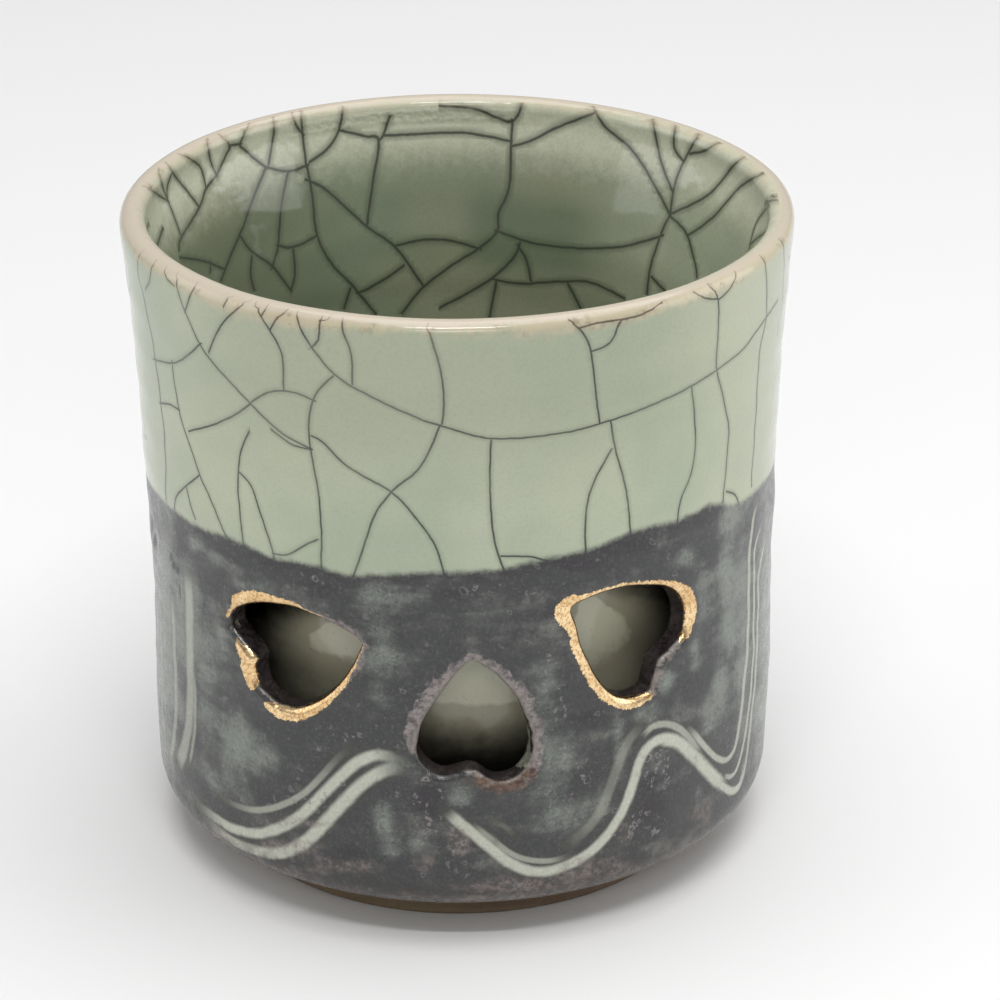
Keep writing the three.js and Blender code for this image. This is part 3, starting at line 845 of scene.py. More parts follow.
REGIONS = {"foot": 0, "shell": 1, "bowl": 2, "hollow": 3, "lip": 4}
HEARTS = {"front": (FRONT_HEART, ()), "left": (LEFT_HEART, LEFT_GOLD), "right": (RIGHT_HEART, RIGHT_GOLD)}


def vertex_layers(bm):
    """What each vertex remembers: its region, its heart, the distance to it and the way round it."""
    verts = bm.verts.layers
    return verts.int["region"], verts.int["heart"], verts.float["lip"], verts.float["way"]


def spin_outline(bm, outline, steps, regions):
    """Turns an outline once round the cup's axis. Each vertex remembers its region of the cup.

    One wedge is spun, then doubled until the circle is full. The steps divide by the wedges.
    """
    wedges = 16
    region_layer, _, lip_layer, _ = vertex_layers(bm)
    ring = []
    for (radius, height), region in zip(outline, regions):
        vert = bm.verts.new((radius, 0.0, height))
        vert[region_layer] = int(region)
        vert[lip_layer] = NO_LIP
        ring.append(vert)
    edges = [bm.edges.new(pair) for pair in zip(ring[:-1], ring[1:])]
    known = set(bm.faces)
    bmesh.ops.spin(bm, geom=ring + edges, cent=(0, 0, 0), axis=(0, 0, 1), angle=math.tau / wedges,
                   steps=steps // wedges)
    turned = 1
    while turned < wedges:
        faces = [face for face in bm.faces if face not in known]
        copied = bmesh.ops.duplicate(bm, geom=faces)["geom"]
        verts = [item for item in copied if isinstance(item, bmesh.types.BMVert)]
        turn = Matrix.Rotation(math.tau * turned / wedges, 3, "Z")
        bmesh.ops.rotate(bm, verts=verts, cent=(0, 0, 0), matrix=turn)
        turned *= 2
    fresh = {vert for face in bm.faces if face not in known for vert in face.verts}
    bmesh.ops.remove_doubles(bm, verts=list(fresh), dist=1e-3)


def loop_from_edges(edges):
    """The vertices of one closed loop of edges, in order."""
    links = {}
    for edge in edges:
        for vert in edge.verts:
            links.setdefault(vert, []).append(edge.other_vert(vert))
    start = next(iter(links))
    loop, previous, current = [start], None, start
    while True:
        following = [v for v in links[current] if v is not previous]
        step = following[0]
        if step is start:
            break
        loop.append(step)
        previous, current = current, step
    if len(loop) != len(links):
        raise RuntimeError("the edge of an opening isn't one loop")
    return loop


def open_hole(bm, verts, gaps, limit):
    """Deletes the faces that reach into an opening and gives the edges of the hole that is left."""
    inside = {v for v, gap in zip(verts, gaps) if gap < limit}
    faces = {f for v in inside for f in v.link_faces}
    rim = {e for f in faces for e in f.edges if any(other not in faces for other in e.link_faces)}
    bmesh.ops.delete(bm, geom=list(faces), context="FACES_ONLY")
    lone = [v for v in inside if v.is_valid]
    bmesh.ops.delete(bm, geom=lone, context="VERTS")
    return [e for e in rim if e.is_valid]


def region_points(bm, name, heart):
    """Vertices of one region near a heart, and where they are on the unrolled wall."""
    region_layer = vertex_layers(bm)[0]
    found, flat = [], []
    for vert in bm.verts:
        if vert[region_layer] != REGIONS[name]:
            continue
        around = math.atan2(vert.co.x, -vert.co.y) * heart.radius
        if max(abs(around - heart.centre[0]), abs(vert.co.z - heart.centre[1])) < heart.REACH:
            found.append(vert)
            flat.append((around, vert.co.z))
    return found, np.array(flat)


def evened_way(heart, nearest):
    """Where a loop of vertices goes round a heart's lip, evened out, as indices of its outline."""
    way = np.interp(nearest, np.arange(heart.SAMPLES + 1), heart.lip_length)
    total = heart.lip_length[-1]
    steps = (np.diff(np.append(way, way[0])) + total / 2) % total - total / 2
    turn = 1.0 if steps.sum() > 0 else -1.0
    smooth = np.concatenate([[way[0]], way[0] + np.cumsum(steps)])[:-1]
    for _ in range(40):
        before = np.roll(smooth, 1)
        before[0] -= turn * total
        after = np.roll(smooth, -1)
        after[-1] += turn * total
        smooth = 0.5 * smooth + 0.25 * (before + after)
    return np.interp(smooth % total, heart.lip_length, np.arange(heart.SAMPLES + 1))


def settle_wall(bm, verts, profile):
    """Smooths the wall round an opening, and keeps it on the wall."""
    for _ in range(12):
        bmesh.ops.smooth_vert(bm, verts=verts, factor=0.5, use_axis_x=True, use_axis_y=True, use_axis_z=True)
        for vert in verts:
            scale = float(profile.shell(vert.co.z)) / math.hypot(vert.co.x, vert.co.y)
            vert.co.x *= scale
            vert.co.y *= scale


def lip_rings(lip, wall):
    """How far out, how deep and how far from the opening each ring round a heart's cut is."""
    edge = 0.4
    rings = [(lip * (1 - math.sin(a)), lip * (1 - math.cos(a)), lip * (1 - a / (math.pi / 2)))
             for a in np.radians((15, 30, 45, 60, 75, 90))]
    rings += [(0.0, depth, lip - depth) for depth in np.linspace(lip, wall - edge, 4)[1:]]
    return rings + [(edge * 0.3, wall - edge * 0.3, lip - wall), (edge, wall, lip - wall - edge / 2)]


def cut_heart(bm, heart, profile):
    """Opens one heart in the shell, rounds its lip and joins it to the shell's hidden face."""
    region_layer, heart_layer, lip_layer, way_layer = vertex_layers(bm)
    verts, flat = region_points(bm, "shell", heart)
    gaps, nearest = heart.gap(flat, heart.lip)
    near = [vert for vert, gap in zip(verts, gaps) if gap < 4.0]
    nearest_of = dict(zip(verts, nearest))
    loop = loop_from_edges(open_hole(bm, verts, gaps, -0.3))
    index = evened_way(heart, [nearest_of[vert] for vert in loop])
    base = heart.at(heart.outline, index)
    normal = heart.at(heart.normal, index)
    normal /= np.linalg.norm(normal, axis=1)[:, None]
    share = index / heart.SAMPLES

    def place(ring, offset, depth, lip):
        level = base + normal * offset
        spots = rolled(np.column_stack([level, np.full(len(level), depth)]), heart.radius, profile.shell)
        for vert, spot, part in zip(ring, spots, share):
            vert.co = spot
            vert[lip_layer] = lip
            vert[way_layer] = part
            vert[region_layer] = REGIONS["lip"]
            vert[heart_layer] = heart.number

    place(loop, profile.heart_lip, 0.0, profile.heart_lip)
    held = set(loop)
    settle_wall(bm, [v for v in near if v.is_valid and v not in held], profile)

    ring = loop
    for offset, depth, value in lip_rings(profile.heart_lip, profile.shell_wall):
        pairs = list(zip(ring, ring[1:] + ring[:1]))
        made = bmesh.ops.extrude_edge_only(bm, edges=[bm.edges.get(pair) for pair in pairs])["geom"]
        fresh = {v for v in made if isinstance(v, bmesh.types.BMVert)}
        ring = [next(e.other_vert(v) for e in v.link_edges if e.other_vert(v) in fresh) for v in ring]
        place(ring, offset, depth, value)

    verts, flat = region_points(bm, "hollow", heart)
    outer = [math.hypot(v.co.x, v.co.y) > float(profile.inner_shell(v.co.z)) - 0.5 for v in verts]
    verts = [v for v, keep in zip(verts, outer) if keep]
    gaps, _ = heart.gap(flat[np.array(outer)], heart.outline)
    hidden = open_hole(bm, verts, gaps, 0.9)
    last = [bm.edges.get(pair) for pair in zip(ring, ring[1:] + ring[:1])]
    bmesh.ops.bridge_loops(bm, edges=last + hidden)





def hand_thrown(points, regions, lip, profile):
    """Small unevenness of a cup thrown by hand: slightly oval, with soft rings from the fingers."""
    x, y, z = points.T
    angle = np.arctan2(x, -y)
    radius = np.maximum(np.hypot(x, y), 1e-6)
    rise = smoothstep(z, 6.0, 30.0)
    rings = FINE_RINGS * np.sin(z * 1.15 + 0.7 * np.sin(angle)) + BROAD_RINGS * np.sin(z * 0.52 + 1.3 + angle)
    oval = sum(much * np.cos(times * angle + start) for much, times, start in OVAL)
    drift = np.array([noise.noise(Vector((0.06 * a, 0.06 * b, 0.05 * c))) for a, b, c in points])
    swell = np.where(lip > 0, np.exp(-((lip - 1.3) / 0.9) ** 2), 0.0)
    shift = rise * (oval + rings + DRIFT * drift) + HEART_SWELL * swell
    shift = np.where(regions == REGIONS["foot"], 0.0, shift)
    shift = np.where(regions == REGIONS["hollow"], 0.4 * shift, shift)
    room = np.maximum(profile.rim_radius + 0.25 - radius, 0.0)
    shift = np.minimum(shift, room)
    for place, height, wide, tall, much in SWELLS:
        turned = (np.degrees(angle) - place + 180) % 360 - 180
        shift = shift + much * np.exp(-(turned / wide) ** 2 - ((z - height) / tall) ** 2) * rise
    scale = (radius + shift) / radius
    dip = RIM_DIP[0] + RIM_DIP[1] * np.cos(angle) + RIM_DIP[2] * np.sin(angle)
    return np.column_stack([x * scale, y * scale, z - dip * smoothstep(z, 60.0, 81.0)])


def outward(points):
    """The directions straight out from the cup's axis."""
    radial = points * (1.0, 1.0, 0.0)
    return radial / np.maximum(np.linalg.norm(radial, axis=1), 1e-6)[:, None]


def put_attribute(mesh, name, values):
    """Stores one number, or three, with each vertex."""
    kind, field = ("FLOAT", "value") if values.ndim == 1 else ("FLOAT_VECTOR", "vector")
    if name in mesh.attributes:
        mesh.attributes.remove(mesh.attributes[name])
    attribute = mesh.attributes.new(name, kind, "POINT")
    attribute.data.foreach_set(field, values.astype(np.float32).ravel())


class Drawing:
    """Lines drawn on the walls, kept in vertex channels as distances in millimetres.

    Each channel holds the signed distance to a line, an amount that grows where the line is no
    longer surely the nearest, and how strong it is. The shader turns the distance into a line that
    is finer than the mesh.
    """

    SURE = 1.1
    FADE = 1.5
    REACH = 2.0
    FAR = 9.0
    UNSURE = 6.0

    def __init__(self, points, kind, channels):
        self.points = points
        self.kind = kind
        self.used = np.zeros((channels, len(points)), bool)
        self.data = np.zeros((channels, len(points), 3), np.float32)
        self.data[:, :, 0] = self.FAR
        self.data[:, :, 1] = self.UNSURE

    def line(self, route, mask, half_width=1.0, strength=1.0, extra=0.0, fades=(0.0, 0.0)):
        """Adds one line along a route of points on the wall, fading over a length at each end."""
        reach = self.REACH + extra
        low = route.min(0) - reach
        high = route.max(0) + reach
        box = mask & (self.points >= low).all(1) & (self.points <= high).all(1)
        near = np.flatnonzero(box)
        if len(near) == 0:
            return
        gap, stretch, share = nearest_on_line(self.points[near], route)
        held = gap < reach
        near, stretch, share, gap = near[held], stretch[held], share[held], gap[held]
        free = [channel for channel in range(len(self.used)) if not self.used[channel, near].any()]
        if not free:
            raise RuntimeError(f"no {self.kind} channel is free for a line")
        start = route[stretch]
        step = route[stretch + 1] - start
        size = np.linalg.norm(step, axis=1)
        offset = self.points[near] - start
        side = np.cross(outward(self.points[near]), step / size[:, None])
        lateral = (offset * side).sum(1)
        sign = np.where(lateral < 0, -1.0, 1.0)
        past_start = np.where(stretch == 0, np.maximum(-share * size, 0), 0)
        past_end = np.where(stretch == len(route) - 2, np.maximum((share - 1) * size, 0), 0)
        past = past_start + past_end
        distance = np.where(past > 0, np.abs(lateral), gap) * sign
        cover = 1 - smoothstep(gap, self.SURE + extra, self.FADE + extra)
        cover *= 1 - smoothstep(past, 0.5, 1.2)
        lengths = np.concatenate([[0.0], np.cumsum(np.linalg.norm(np.diff(route, axis=0), axis=1))])
        along = lengths[stretch] + np.clip(share, 0.0, 1.0) * size
        strength = np.full(len(near), strength)
        for fade, gone in zip(fades, (along, lengths[-1] - along)):
            if fade:
                strength = strength * smoothstep(gone, 0.0, fade)
        values = [distance / half_width, (1 - cover) * self.UNSURE, strength]
        self.data[free[0], near] = np.column_stack(values)
        self.used[free[0], near] = True

    def write(self, mesh):
        """Stores the channels as vertex attributes."""
        for channel, values in enumerate(self.data, 1):
            put_attribute(mesh, f"{self.kind}_{channel}", values)


class Crackle:
    """Grows further cracks on an unrolled wall, each from an old one until it meets another."""

    STEP = 0.6
    TURN = (62, 118)
    BEND = 0.02
    BEND_STEP = 0.014
    BEND_LIMIT = 0.035
    CLEAR_START = 2.2
    TOUCH = 0.75
    SHORTEST = 5.0

    def __init__(self, routes, around, low, high, seed):
        self.around = around
        self.low = low
        self.high = high
        self.dice = random.Random(seed)
        self.lines = [np.asarray(route, float) for route in routes]

    def blocked(self, spot, old, clear):
        """Whether a spot is nearer than this to an old crack, across the seam of the wall too."""
        delta = old - spot
        delta[:, 0] = (delta[:, 0] + self.around / 2) % self.around - self.around / 2
        return (np.hypot(delta[:, 0], delta[:, 1]) < clear).any()

    def grow(self, allowed, tries, longest, clear):
        """Adds cracks where they are allowed and gives the new ones."""
        fresh = []
        pool = [line for line in self.lines if len(line) > 1]
        for _ in range(tries):
            parent = self.dice.choice(pool)
            place = self.dice.randrange(len(parent) - 1)
            start = parent[place]
            if not allowed(start):
                continue
            heading = math.atan2(*(parent[place + 1] - start)[::-1])
            heading += math.radians(self.dice.choice((-1, 1)) * self.dice.uniform(*self.TURN))
            bend = self.dice.uniform(-self.BEND, self.BEND)
            old = np.vstack(self.lines)
            spot = start.copy()
            path = [spot.copy()]
            met = False
            while len(path) * self.STEP < longest:
                bend += self.dice.uniform(-self.BEND_STEP, self.BEND_STEP)
                bend = max(-self.BEND_LIMIT, min(self.BEND_LIMIT, bend))
                heading += bend
                spot = spot + self.STEP * np.array([math.cos(heading), math.sin(heading)])
                if not (self.low < spot[1] < self.high) or not allowed(spot):
                    path.append(spot)
                    met = True
                    break
                path.append(spot)
                left_start = len(path) * self.STEP > self.CLEAR_START
                if left_start and self.blocked(spot, old, self.STEP * self.TOUCH):
                    met = True
                    break
            path = np.array(path)
            if len(path) * self.STEP < self.SHORTEST or not met:
                continue
            middle = path[len(path) // 3:-max(2, len(path) // 4)]
            if len(middle) and any(self.blocked(point, old, clear) for point in middle[::3]):
                continue
            self.lines.append(path)
            pool.append(path)
            fresh.append(path)
        return fresh


def feed(tree, socket, value):
    """Gives a socket its value, or a link where the value is another socket."""
    if isinstance(value, bpy.types.NodeSocket):
        tree.links.new(value, socket)
    else:
        socket.default_value = value


def nodes_of(tree):
    """A helper that adds a node, sets its inputs and gives it back."""
    def add(kind, links=(), **settings):
        node = tree.nodes.new(kind)
        for name, value in settings.items():
            setattr(node, name, value)
        for socket, value in links:
            feed(tree, node.inputs[socket], value)
        return node
    return add


def calculate(tree, operation, *values):
    """A Math node's result."""
    return nodes_of(tree)("ShaderNodeMath", links=enumerate(values), operation=operation).outputs[0]


def scaled(tree, value, factor):
    """A value times another."""
    return calculate(tree, "MULTIPLY", value, factor)


def plus(tree, base, value, factor=1.0):
    """A base with a value, or some share of it, added."""
    return calculate(tree, "MULTIPLY_ADD", value, factor, base)


def centred(tree, value):
    """A noise from 0 to 1, moved to lie about 0."""
    return calculate(tree, "SUBTRACT", value, 0.5)


def ramp(tree, value, low, high, out_low=0.0, out_high=1.0):
    """A smooth step of a value between two others."""
    links = [
        ("Value", value), ("From Min", low), ("From Max", high), ("To Min", out_low), ("To Max", out_high)]
    node = nodes_of(tree)("ShaderNodeMapRange", links=links, interpolation_type="SMOOTHSTEP")
    return node.outputs["Result"]


def between(tree, value, rise, fall, top=1.0):
    """A mask that rises over one stretch of a value and falls over another."""
    return scaled(tree, ramp(tree, value, *rise), ramp(tree, value, *fall, top, 0.0))


def blend_colour(tree, factor, first, second):
    """The first colour with the second laid over it by a factor."""
    links = [(0, factor), (6, first), (7, second)]
    return nodes_of(tree)("ShaderNodeMix", links=links, data_type="RGBA").outputs[2]


def layered(tree, glaze, *layers):
    """A glaze with tints laid over it in order, each by its own mask."""
    for mask, tint in layers:
        glaze = blend_colour(tree, mask, glaze, tint)
    return glaze


def blend_value(tree, factor, first, second):
    """A number between two others."""
    return nodes_of(tree)("ShaderNodeMix", links=[(0, factor), (2, first), (3, second)]).outputs[0]


def place_on_cup(tree):
    """Where the surface is, in the object's own coordinates."""
    return nodes_of(tree)("ShaderNodeTexCoord").outputs["Object"]


def parts_of(tree, vector):
    """The three numbers of a vector."""
    return nodes_of(tree)("ShaderNodeSeparateXYZ", links=[("Vector", vector)]).outputs


def height_value(tree):
    """The height above the table in millimetres."""
    return scaled(tree, parts_of(tree, place_on_cup(tree))["Z"], 1 / MM)


def attribute_value(tree, name):
    """A single number that the vertices carry."""
    return nodes_of(tree)("ShaderNodeAttribute", attribute_name=name).outputs["Fac"]


def attribute_parts(tree, name):
    """The three numbers that the vertices carry in one attribute."""
    return parts_of(tree, nodes_of(tree)("ShaderNodeAttribute", attribute_name=name).outputs["Vector"])


def noise_value(tree, scale, detail=3.0, roughness=0.5, seed=0.0):
    """A noise over the object's own coordinates."""
    add = nodes_of(tree)
    moved = add("ShaderNodeMapping", links=[
        ("Vector", place_on_cup(tree)), ("Location", (seed, seed * 0.7, -seed * 0.4))])
    node = add("ShaderNodeTexNoise", links=[
        ("Vector", moved.outputs[0]), ("Scale", scale), ("Detail", detail), ("Roughness", roughness)])
    return node.outputs["Fac"]


def make_group(name, numbers, outputs, colours=()):
    """A shader node group with its sockets, what comes into it and its end node.

    Outputs are numbers too, unless they are called Colour.
    """
    group = bpy.data.node_groups.new(name, "ShaderNodeTree")
    for socket in colours:
        group.interface.new_socket(socket, in_out="INPUT", socket_type="NodeSocketColor")
    for socket in numbers:
        group.interface.new_socket(socket, in_out="INPUT", socket_type="NodeSocketFloat")
    for socket in outputs:
        kind = "NodeSocketColor" if socket == "Colour" else "NodeSocketFloat"
        group.interface.new_socket(socket, in_out="OUTPUT", socket_type=kind)
    given = group.nodes.new("NodeGroupInput").outputs
    return group, given, group.nodes.new("NodeGroupOutput").inputs


def channel_distance(group, kind, channel, waver):
    """The distance to one channel's lines, and their strength."""
    across, unsure, strength = attribute_parts(group, f"{kind}_{channel + 1}")
    size = calculate(group, "ABSOLUTE", plus(group, across, waver))
    return plus(group, size, unsure), strength


def lines_group():
    """A group that gives the distance to the nearest crack in millimetres."""
    group, given, end = make_group("Crackle lines", ["Waver"], ["Distance"])
    nearest = None
    for channel in range(CRACK_CHANNELS):
        distance, _ = channel_distance(group, "crack", channel, given["Waver"])
        nearest = distance if nearest is None else calculate(group, "MINIMUM", nearest, distance)
    feed(group, end["Distance"], nearest)
    return group


def stain_group():
    """A group that stains a glaze in its cracks, with a soft halo beside them."""
    group, given, end = make_group(
        "Crackle stain", ["Distance", "Narrow", "Wide", "Strength", "Reach", "Power", "Halo Strength"],
        ["Colour", "Core"], ["Glaze", "Halo", "Stain"])
    core = ramp(group, given["Distance"], given["Narrow"], given["Wide"], 1.0, 0.0)
    core = scaled(group, core, given["Strength"])
    halo = ramp(group, given["Distance"], 0.0, given["Reach"], 1.0, 0.0)
    halo = scaled(group, calculate(group, "POWER", halo, given["Power"]), given["Halo Strength"])
    glaze = blend_colour(group, halo, given["Glaze"], given["Halo"])
    feed(group, end["Colour"], blend_colour(group, core, glaze, given["Stain"]))
    feed(group, end["Core"], core)
    return group


def slip_group():
    """A group that gives how strongly slip covers: its own stroke, and a faint spread beside it."""
    group, given, end = make_group("Slip strokes", ["Waver", "Softness"], ["Stroke", "Spread"])
    inner = calculate(group, "SUBTRACT", 1.0, given["Softness"])
    outer = calculate(group, "ADD", 1.0, given["Softness"])
    stroke, nearest = None, None
    for channel in range(SLIP_CHANNELS):
        distance, strength = channel_distance(group, "slip", channel, given["Waver"])
        line = scaled(group, ramp(group, distance, inner, outer, 1.0, 0.0), strength)
        stroke = line if stroke is None else calculate(group, "MAXIMUM", stroke, line)
        nearest = distance if nearest is None else calculate(group, "MINIMUM", nearest, distance)
    feed(group, end["Stroke"], stroke)
    feed(group, end["Spread"], ramp(group, nearest, 0.6, 2.6, 1.0, 0.0))
    return group


def clouds_group():
    """A group for soft clouds of glaze, stretched along the wheel's turn."""
    group, given, end = make_group("Glaze clouds", ["Size", "Flatness", "Low", "High"], ["Mask"])
    add = nodes_of(group)
    across, along, level = parts_of(group, place_on_cup(group))
    flat = scaled(group, level, given["Flatness"])
    joined = add("ShaderNodeCombineXYZ", links=[("X", across), ("Y", along), ("Z", flat)])
    cloud = add("ShaderNodeTexNoise", links=[
        ("Vector", joined.outputs[0]), ("Scale", given["Size"]), ("Detail", 3.0), ("Roughness", 0.6)])
    feed(group, end["Mask"], ramp(group, cloud.outputs["Fac"], given["Low"], given["High"]))
    return group


def bubbles_group():
    """A group for burst bubbles in a glaze: small rings and pits in scattered places."""
    group, given, end = make_group("Burst bubbles", ["Size", "Amount"], ["Ring", "Pit"])
    add = nodes_of(group)
    place = place_on_cup(group)
    wander = add("ShaderNodeTexNoise", links=[("Vector", place), ("Scale", 1000.0), ("Detail", 1.0)])
    spread = add("ShaderNodeVectorMath", operation="MULTIPLY_ADD", links=[
        (0, wander.outputs["Color"]), (1, (0.0015, 0.0015, 0.0015)), (2, place)])
    cells = add("ShaderNodeTexVoronoi", links=[("Vector", spread.outputs[0]), ("Scale", given["Size"])])
    chance = add("ShaderNodeSeparateColor", links=[("Color", cells.outputs["Color"])]).outputs
    there = calculate(group, "LESS_THAN", chance[0], given["Amount"])
    size = calculate(group, "MULTIPLY_ADD", chance[1], 0.22, 0.14)
    near = calculate(group, "DIVIDE", cells.outputs["Distance"], size)
    edge = calculate(group, "ABSOLUTE", calculate(group, "SUBTRACT", near, 1.0))
    feed(group, end["Ring"], scaled(group, ramp(group, edge, 0.12, 0.42, 1.0, 0.0), there))
    feed(group, end["Pit"], scaled(group, ramp(group, near, 0.5, 1.0, 1.0, 0.0), there))
    return group


def grain_group():
    """A group for the fine unevenness of a glaze, about 0, and its still finer grain."""
    group, _, end = make_group("Glaze grain", [], ["Fine", "Grain"])
    feed(group, end["Fine"], centred(group, noise_value(group, 700.0, 3.0, 0.6)))
    feed(group, end["Grain"], noise_value(group, 2800.0, 1.0, 0.7, 0.3))
    return group


def rim_group():
    """A group for the rim, where the glaze is worn to the clay and stained in its cracks."""
    group, given, end = make_group("Worn rim", ["Wear", "Cracks"], ["Colour"], ["Glaze", "Clay", "Stain"])
    clay = blend_colour(group, scaled(group, given["Cracks"], 0.5), given["Clay"], given["Stain"])
    worn = scaled(group, given["Wear"], 0.95)
    feed(group, end["Colour"], blend_colour(group, worn, given["Glaze"], clay))
    return group


GROUPS = {
    "lines": lines_group, "stain": stain_group, "slip": slip_group, "clouds": clouds_group,
    "bubbles": bubbles_group, "grain": grain_group, "rim": rim_group,
}


def use_group(tree, group, **values):
    """Places a group with its own values."""
    node = nodes_of(tree)("ShaderNodeGroup", node_tree=group)
    for name, value in values.items():
        feed(tree, node.inputs[name.replace("_", " ").title()], value)
    return node.outputs


def new_material(name, preview):
    """A material with only its surface shader, and its tree."""
    material = bpy.data.materials.new(name)
    material.use_nodes = True
    material.diffuse_color = preview
    tree = material.node_tree
    tree.nodes.clear()
    add = nodes_of(tree)
    shader = add("ShaderNodeBsdfPrincipled")
    add("ShaderNodeOutputMaterial", links=[("Surface", shader.outputs[0])])
    return material, tree, shader


def finish_shader(tree, shader, colour_out, roughness, height, bump):
    """Feeds a material's surface shader."""
    links = [("Height", height), ("Strength", 1.0), ("Distance", bump)]
    relief = nodes_of(tree)("ShaderNodeBump", links=links)
    feed(tree, shader.inputs["Base Color"], colour_out)
    feed(tree, shader.inputs["Roughness"], roughness)
    feed(tree, shader.inputs["Normal"], relief.outputs[0])


def shell_masks(tree, groups):
    """All that the shell's layers read: heights, distances, painted spots and noises."""
    on = SimpleNamespace(level=height_value(tree))
    on.lip, on.line, on.bare = (attribute_value(tree, name) for name in ("lip", "glaze_line", "bare"))
    on.sage, on.plum, on.blush = attribute_parts(tree, "clouds")
    on.froth, on.pit, on.rust = attribute_parts(tree, "marks")
    _, on.flake, on.wet = attribute_parts(tree, "edges")
    on.fine, on.grain = use_group(tree, groups["grain"])
    on.wash = use_group(tree, groups["clouds"], size=30.0, flatness=2.2, low=0.36, high=0.64)["Mask"]
    streak = use_group(tree, groups["clouds"], size=60.0, flatness=4.0, low=0.30, high=0.70)["Mask"]
    on.patchy = centred(tree, noise_value(tree, 260.0, 3.0, 0.62, 0.6))
    on.unsure = plus(tree, scaled(tree, on.patchy, 1.1), centred(tree, streak), 0.45)
    on.mottle = ramp(tree, noise_value(tree, 1300.0, 3.0, 0.7, 0.5), 0.40, 0.62)
    on.crust = ramp(tree, noise_value(tree, 1500.0, 3.0, 0.75, 0.8), 0.34, 0.66)
    on.heel = ramp(tree, plus(tree, on.level, on.fine, 9.0), 5.5, 10.5, 1.0, 0.0)
    on.border = ramp(tree, plus(tree, on.bare, on.fine, 2.4), -0.16, 0.2)
    on.inside = ramp(tree, on.lip, 0.05, 0.38, 1.0, 0.0)
    blurred = plus(tree, plus(tree, on.line, on.fine, 0.8), centred(tree, on.grain), 0.35)
    on.upper = ramp(tree, blurred, -0.52, 0.52)
    worn = centred(tree, noise_value(tree, 1700.0, 3.0, 0.75, 0.7))
    on.gold = ramp(tree, plus(tree, attribute_value(tree, "gold"), worn), -0.02, 0.05)
    return on


def celadon_glaze(tree, colours, groups, on):
    """The pale glaze, greener where it pools, with its stained cracks and painted shade high on its front."""
    pooled = use_group(tree, groups["clouds"], size=38.0, flatness=1.0, low=0.35, high=0.7)["Mask"]
    # Painted shade: darker high on the front, where the wall leans out and faces a little down
    front = ramp(tree, parts_of(tree, place_on_cup(tree))["Y"], -0.036, -0.022, 1.0, 0.0)
    shade = scaled(tree, ramp(tree, on.level, 56.0, 70.0), front)
    celadon = layered(
        tree, colours.celadon,
        (pooled, colours.celadon_cool),
        (scaled(tree, shade, 0.5), TINTS.celadon_painted_shade),
        (scaled(tree, ramp(tree, on.grain, 0.4, 0.72), 0.11), TINTS.celadon_speckle))
    distance = use_group(tree, groups["lines"], waver=scaled(tree, on.fine, 0.22))["Distance"]
    return use_group(
        tree, groups["stain"], glaze=celadon, halo=TINTS.celadon_halo, stain=colours.crack,
        distance=distance, narrow=0.03, wide=0.19, strength=ramp(tree, on.wash, 0.0, 1.0, 0.7, 1.0),
        reach=1.0, power=2.0, halo_strength=0.36)


def dark_glaze(tree, colours, groups, on):
    """The dark glaze with its clouds of iron and green-grey, a painted sheen at its sides, under the slip."""
    under = scaled(tree, ramp(tree, on.line, -3.4, -0.6), 0.6)
    iron = plus(tree, calculate(tree, "MAXIMUM", on.plum, under), on.unsure, 0.7)
    # Green-grey clouds, and the painted sheen along the sides
    green = ramp(tree, plus(tree, on.sage, on.unsure), 0.0, 0.9)
    pepper = ramp(tree, noise_value(tree, 1900.0, 2.0, 0.7, 0.1), 0.5, 0.72)
    slip = use_group(tree, groups["slip"], softness=SLIP_SOFTNESS, waver=scaled(tree, on.fine, 0.45))
    beside = scaled(tree, calculate(tree, "SUBTRACT", slip["Spread"], slip["Stroke"]), 0.4)
    return layered(
        tree, colours.slate,
        (scaled(tree, ramp(tree, iron, 0.25, 0.75), 0.9), colours.plum),
        (scaled(tree, green, 0.95), colours.sage),
        (scaled(tree, ramp(tree, on.grain, 0.5, 0.75), ramp(tree, green, 0.0, 0.6, 0.12, 0.42)), TINTS.salt),
        (scaled(tree, pepper, 0.5), TINTS.pepper),
        (calculate(tree, "MAXIMUM", beside, 0.0), TINTS.beside_slip),
        (scaled(tree, slip["Stroke"], ramp(tree, on.grain, 0.3, 0.7, 1.0, 0.86)), colours.slip))


def heel_and_bubbles(tree, colours, groups, dark, on):
    """Over the dark glaze: a browner heel with thin pinkish glaze, a painted highlight along the glaze's
    lower edge, and burst bubbles.
    """
    thin = calculate(tree, "MAXIMUM", scaled(tree, on.heel, 0.5), on.blush)
    thin = ramp(tree, plus(tree, thin, on.unsure), 0.1, 0.8)
    crowd = ramp(tree, plus(tree, on.froth, on.patchy, 0.5), 0.08, 0.50, 0.09, 0.95)
    bubbles = use_group(tree, groups["bubbles"], size=980.0, amount=crowd)
    foam = ramp(tree, plus(tree, on.froth, on.fine), 0.1, 0.5, 0.35, 0.7)
    return layered(
        tree, dark,
        (scaled(tree, on.heel, 0.7), TINTS.heel),
        (scaled(tree, thin, ramp(tree, on.mottle, 0.0, 1.0, 0.15, 0.75)), colours.blush),
        # Painted highlight: a pale line where the glaze's lower edge catches the light
        (scaled(tree, between(tree, on.level, (4.8, 5.1), (5.4, 5.9)), 0.8), TINTS.painted_edge_highlight),
        (scaled(tree, bubbles["Ring"], foam), TINTS.bubble_ring),
        (scaled(tree, scaled(tree, bubbles["Pit"], foam), 0.6), TINTS.bubble_pit))


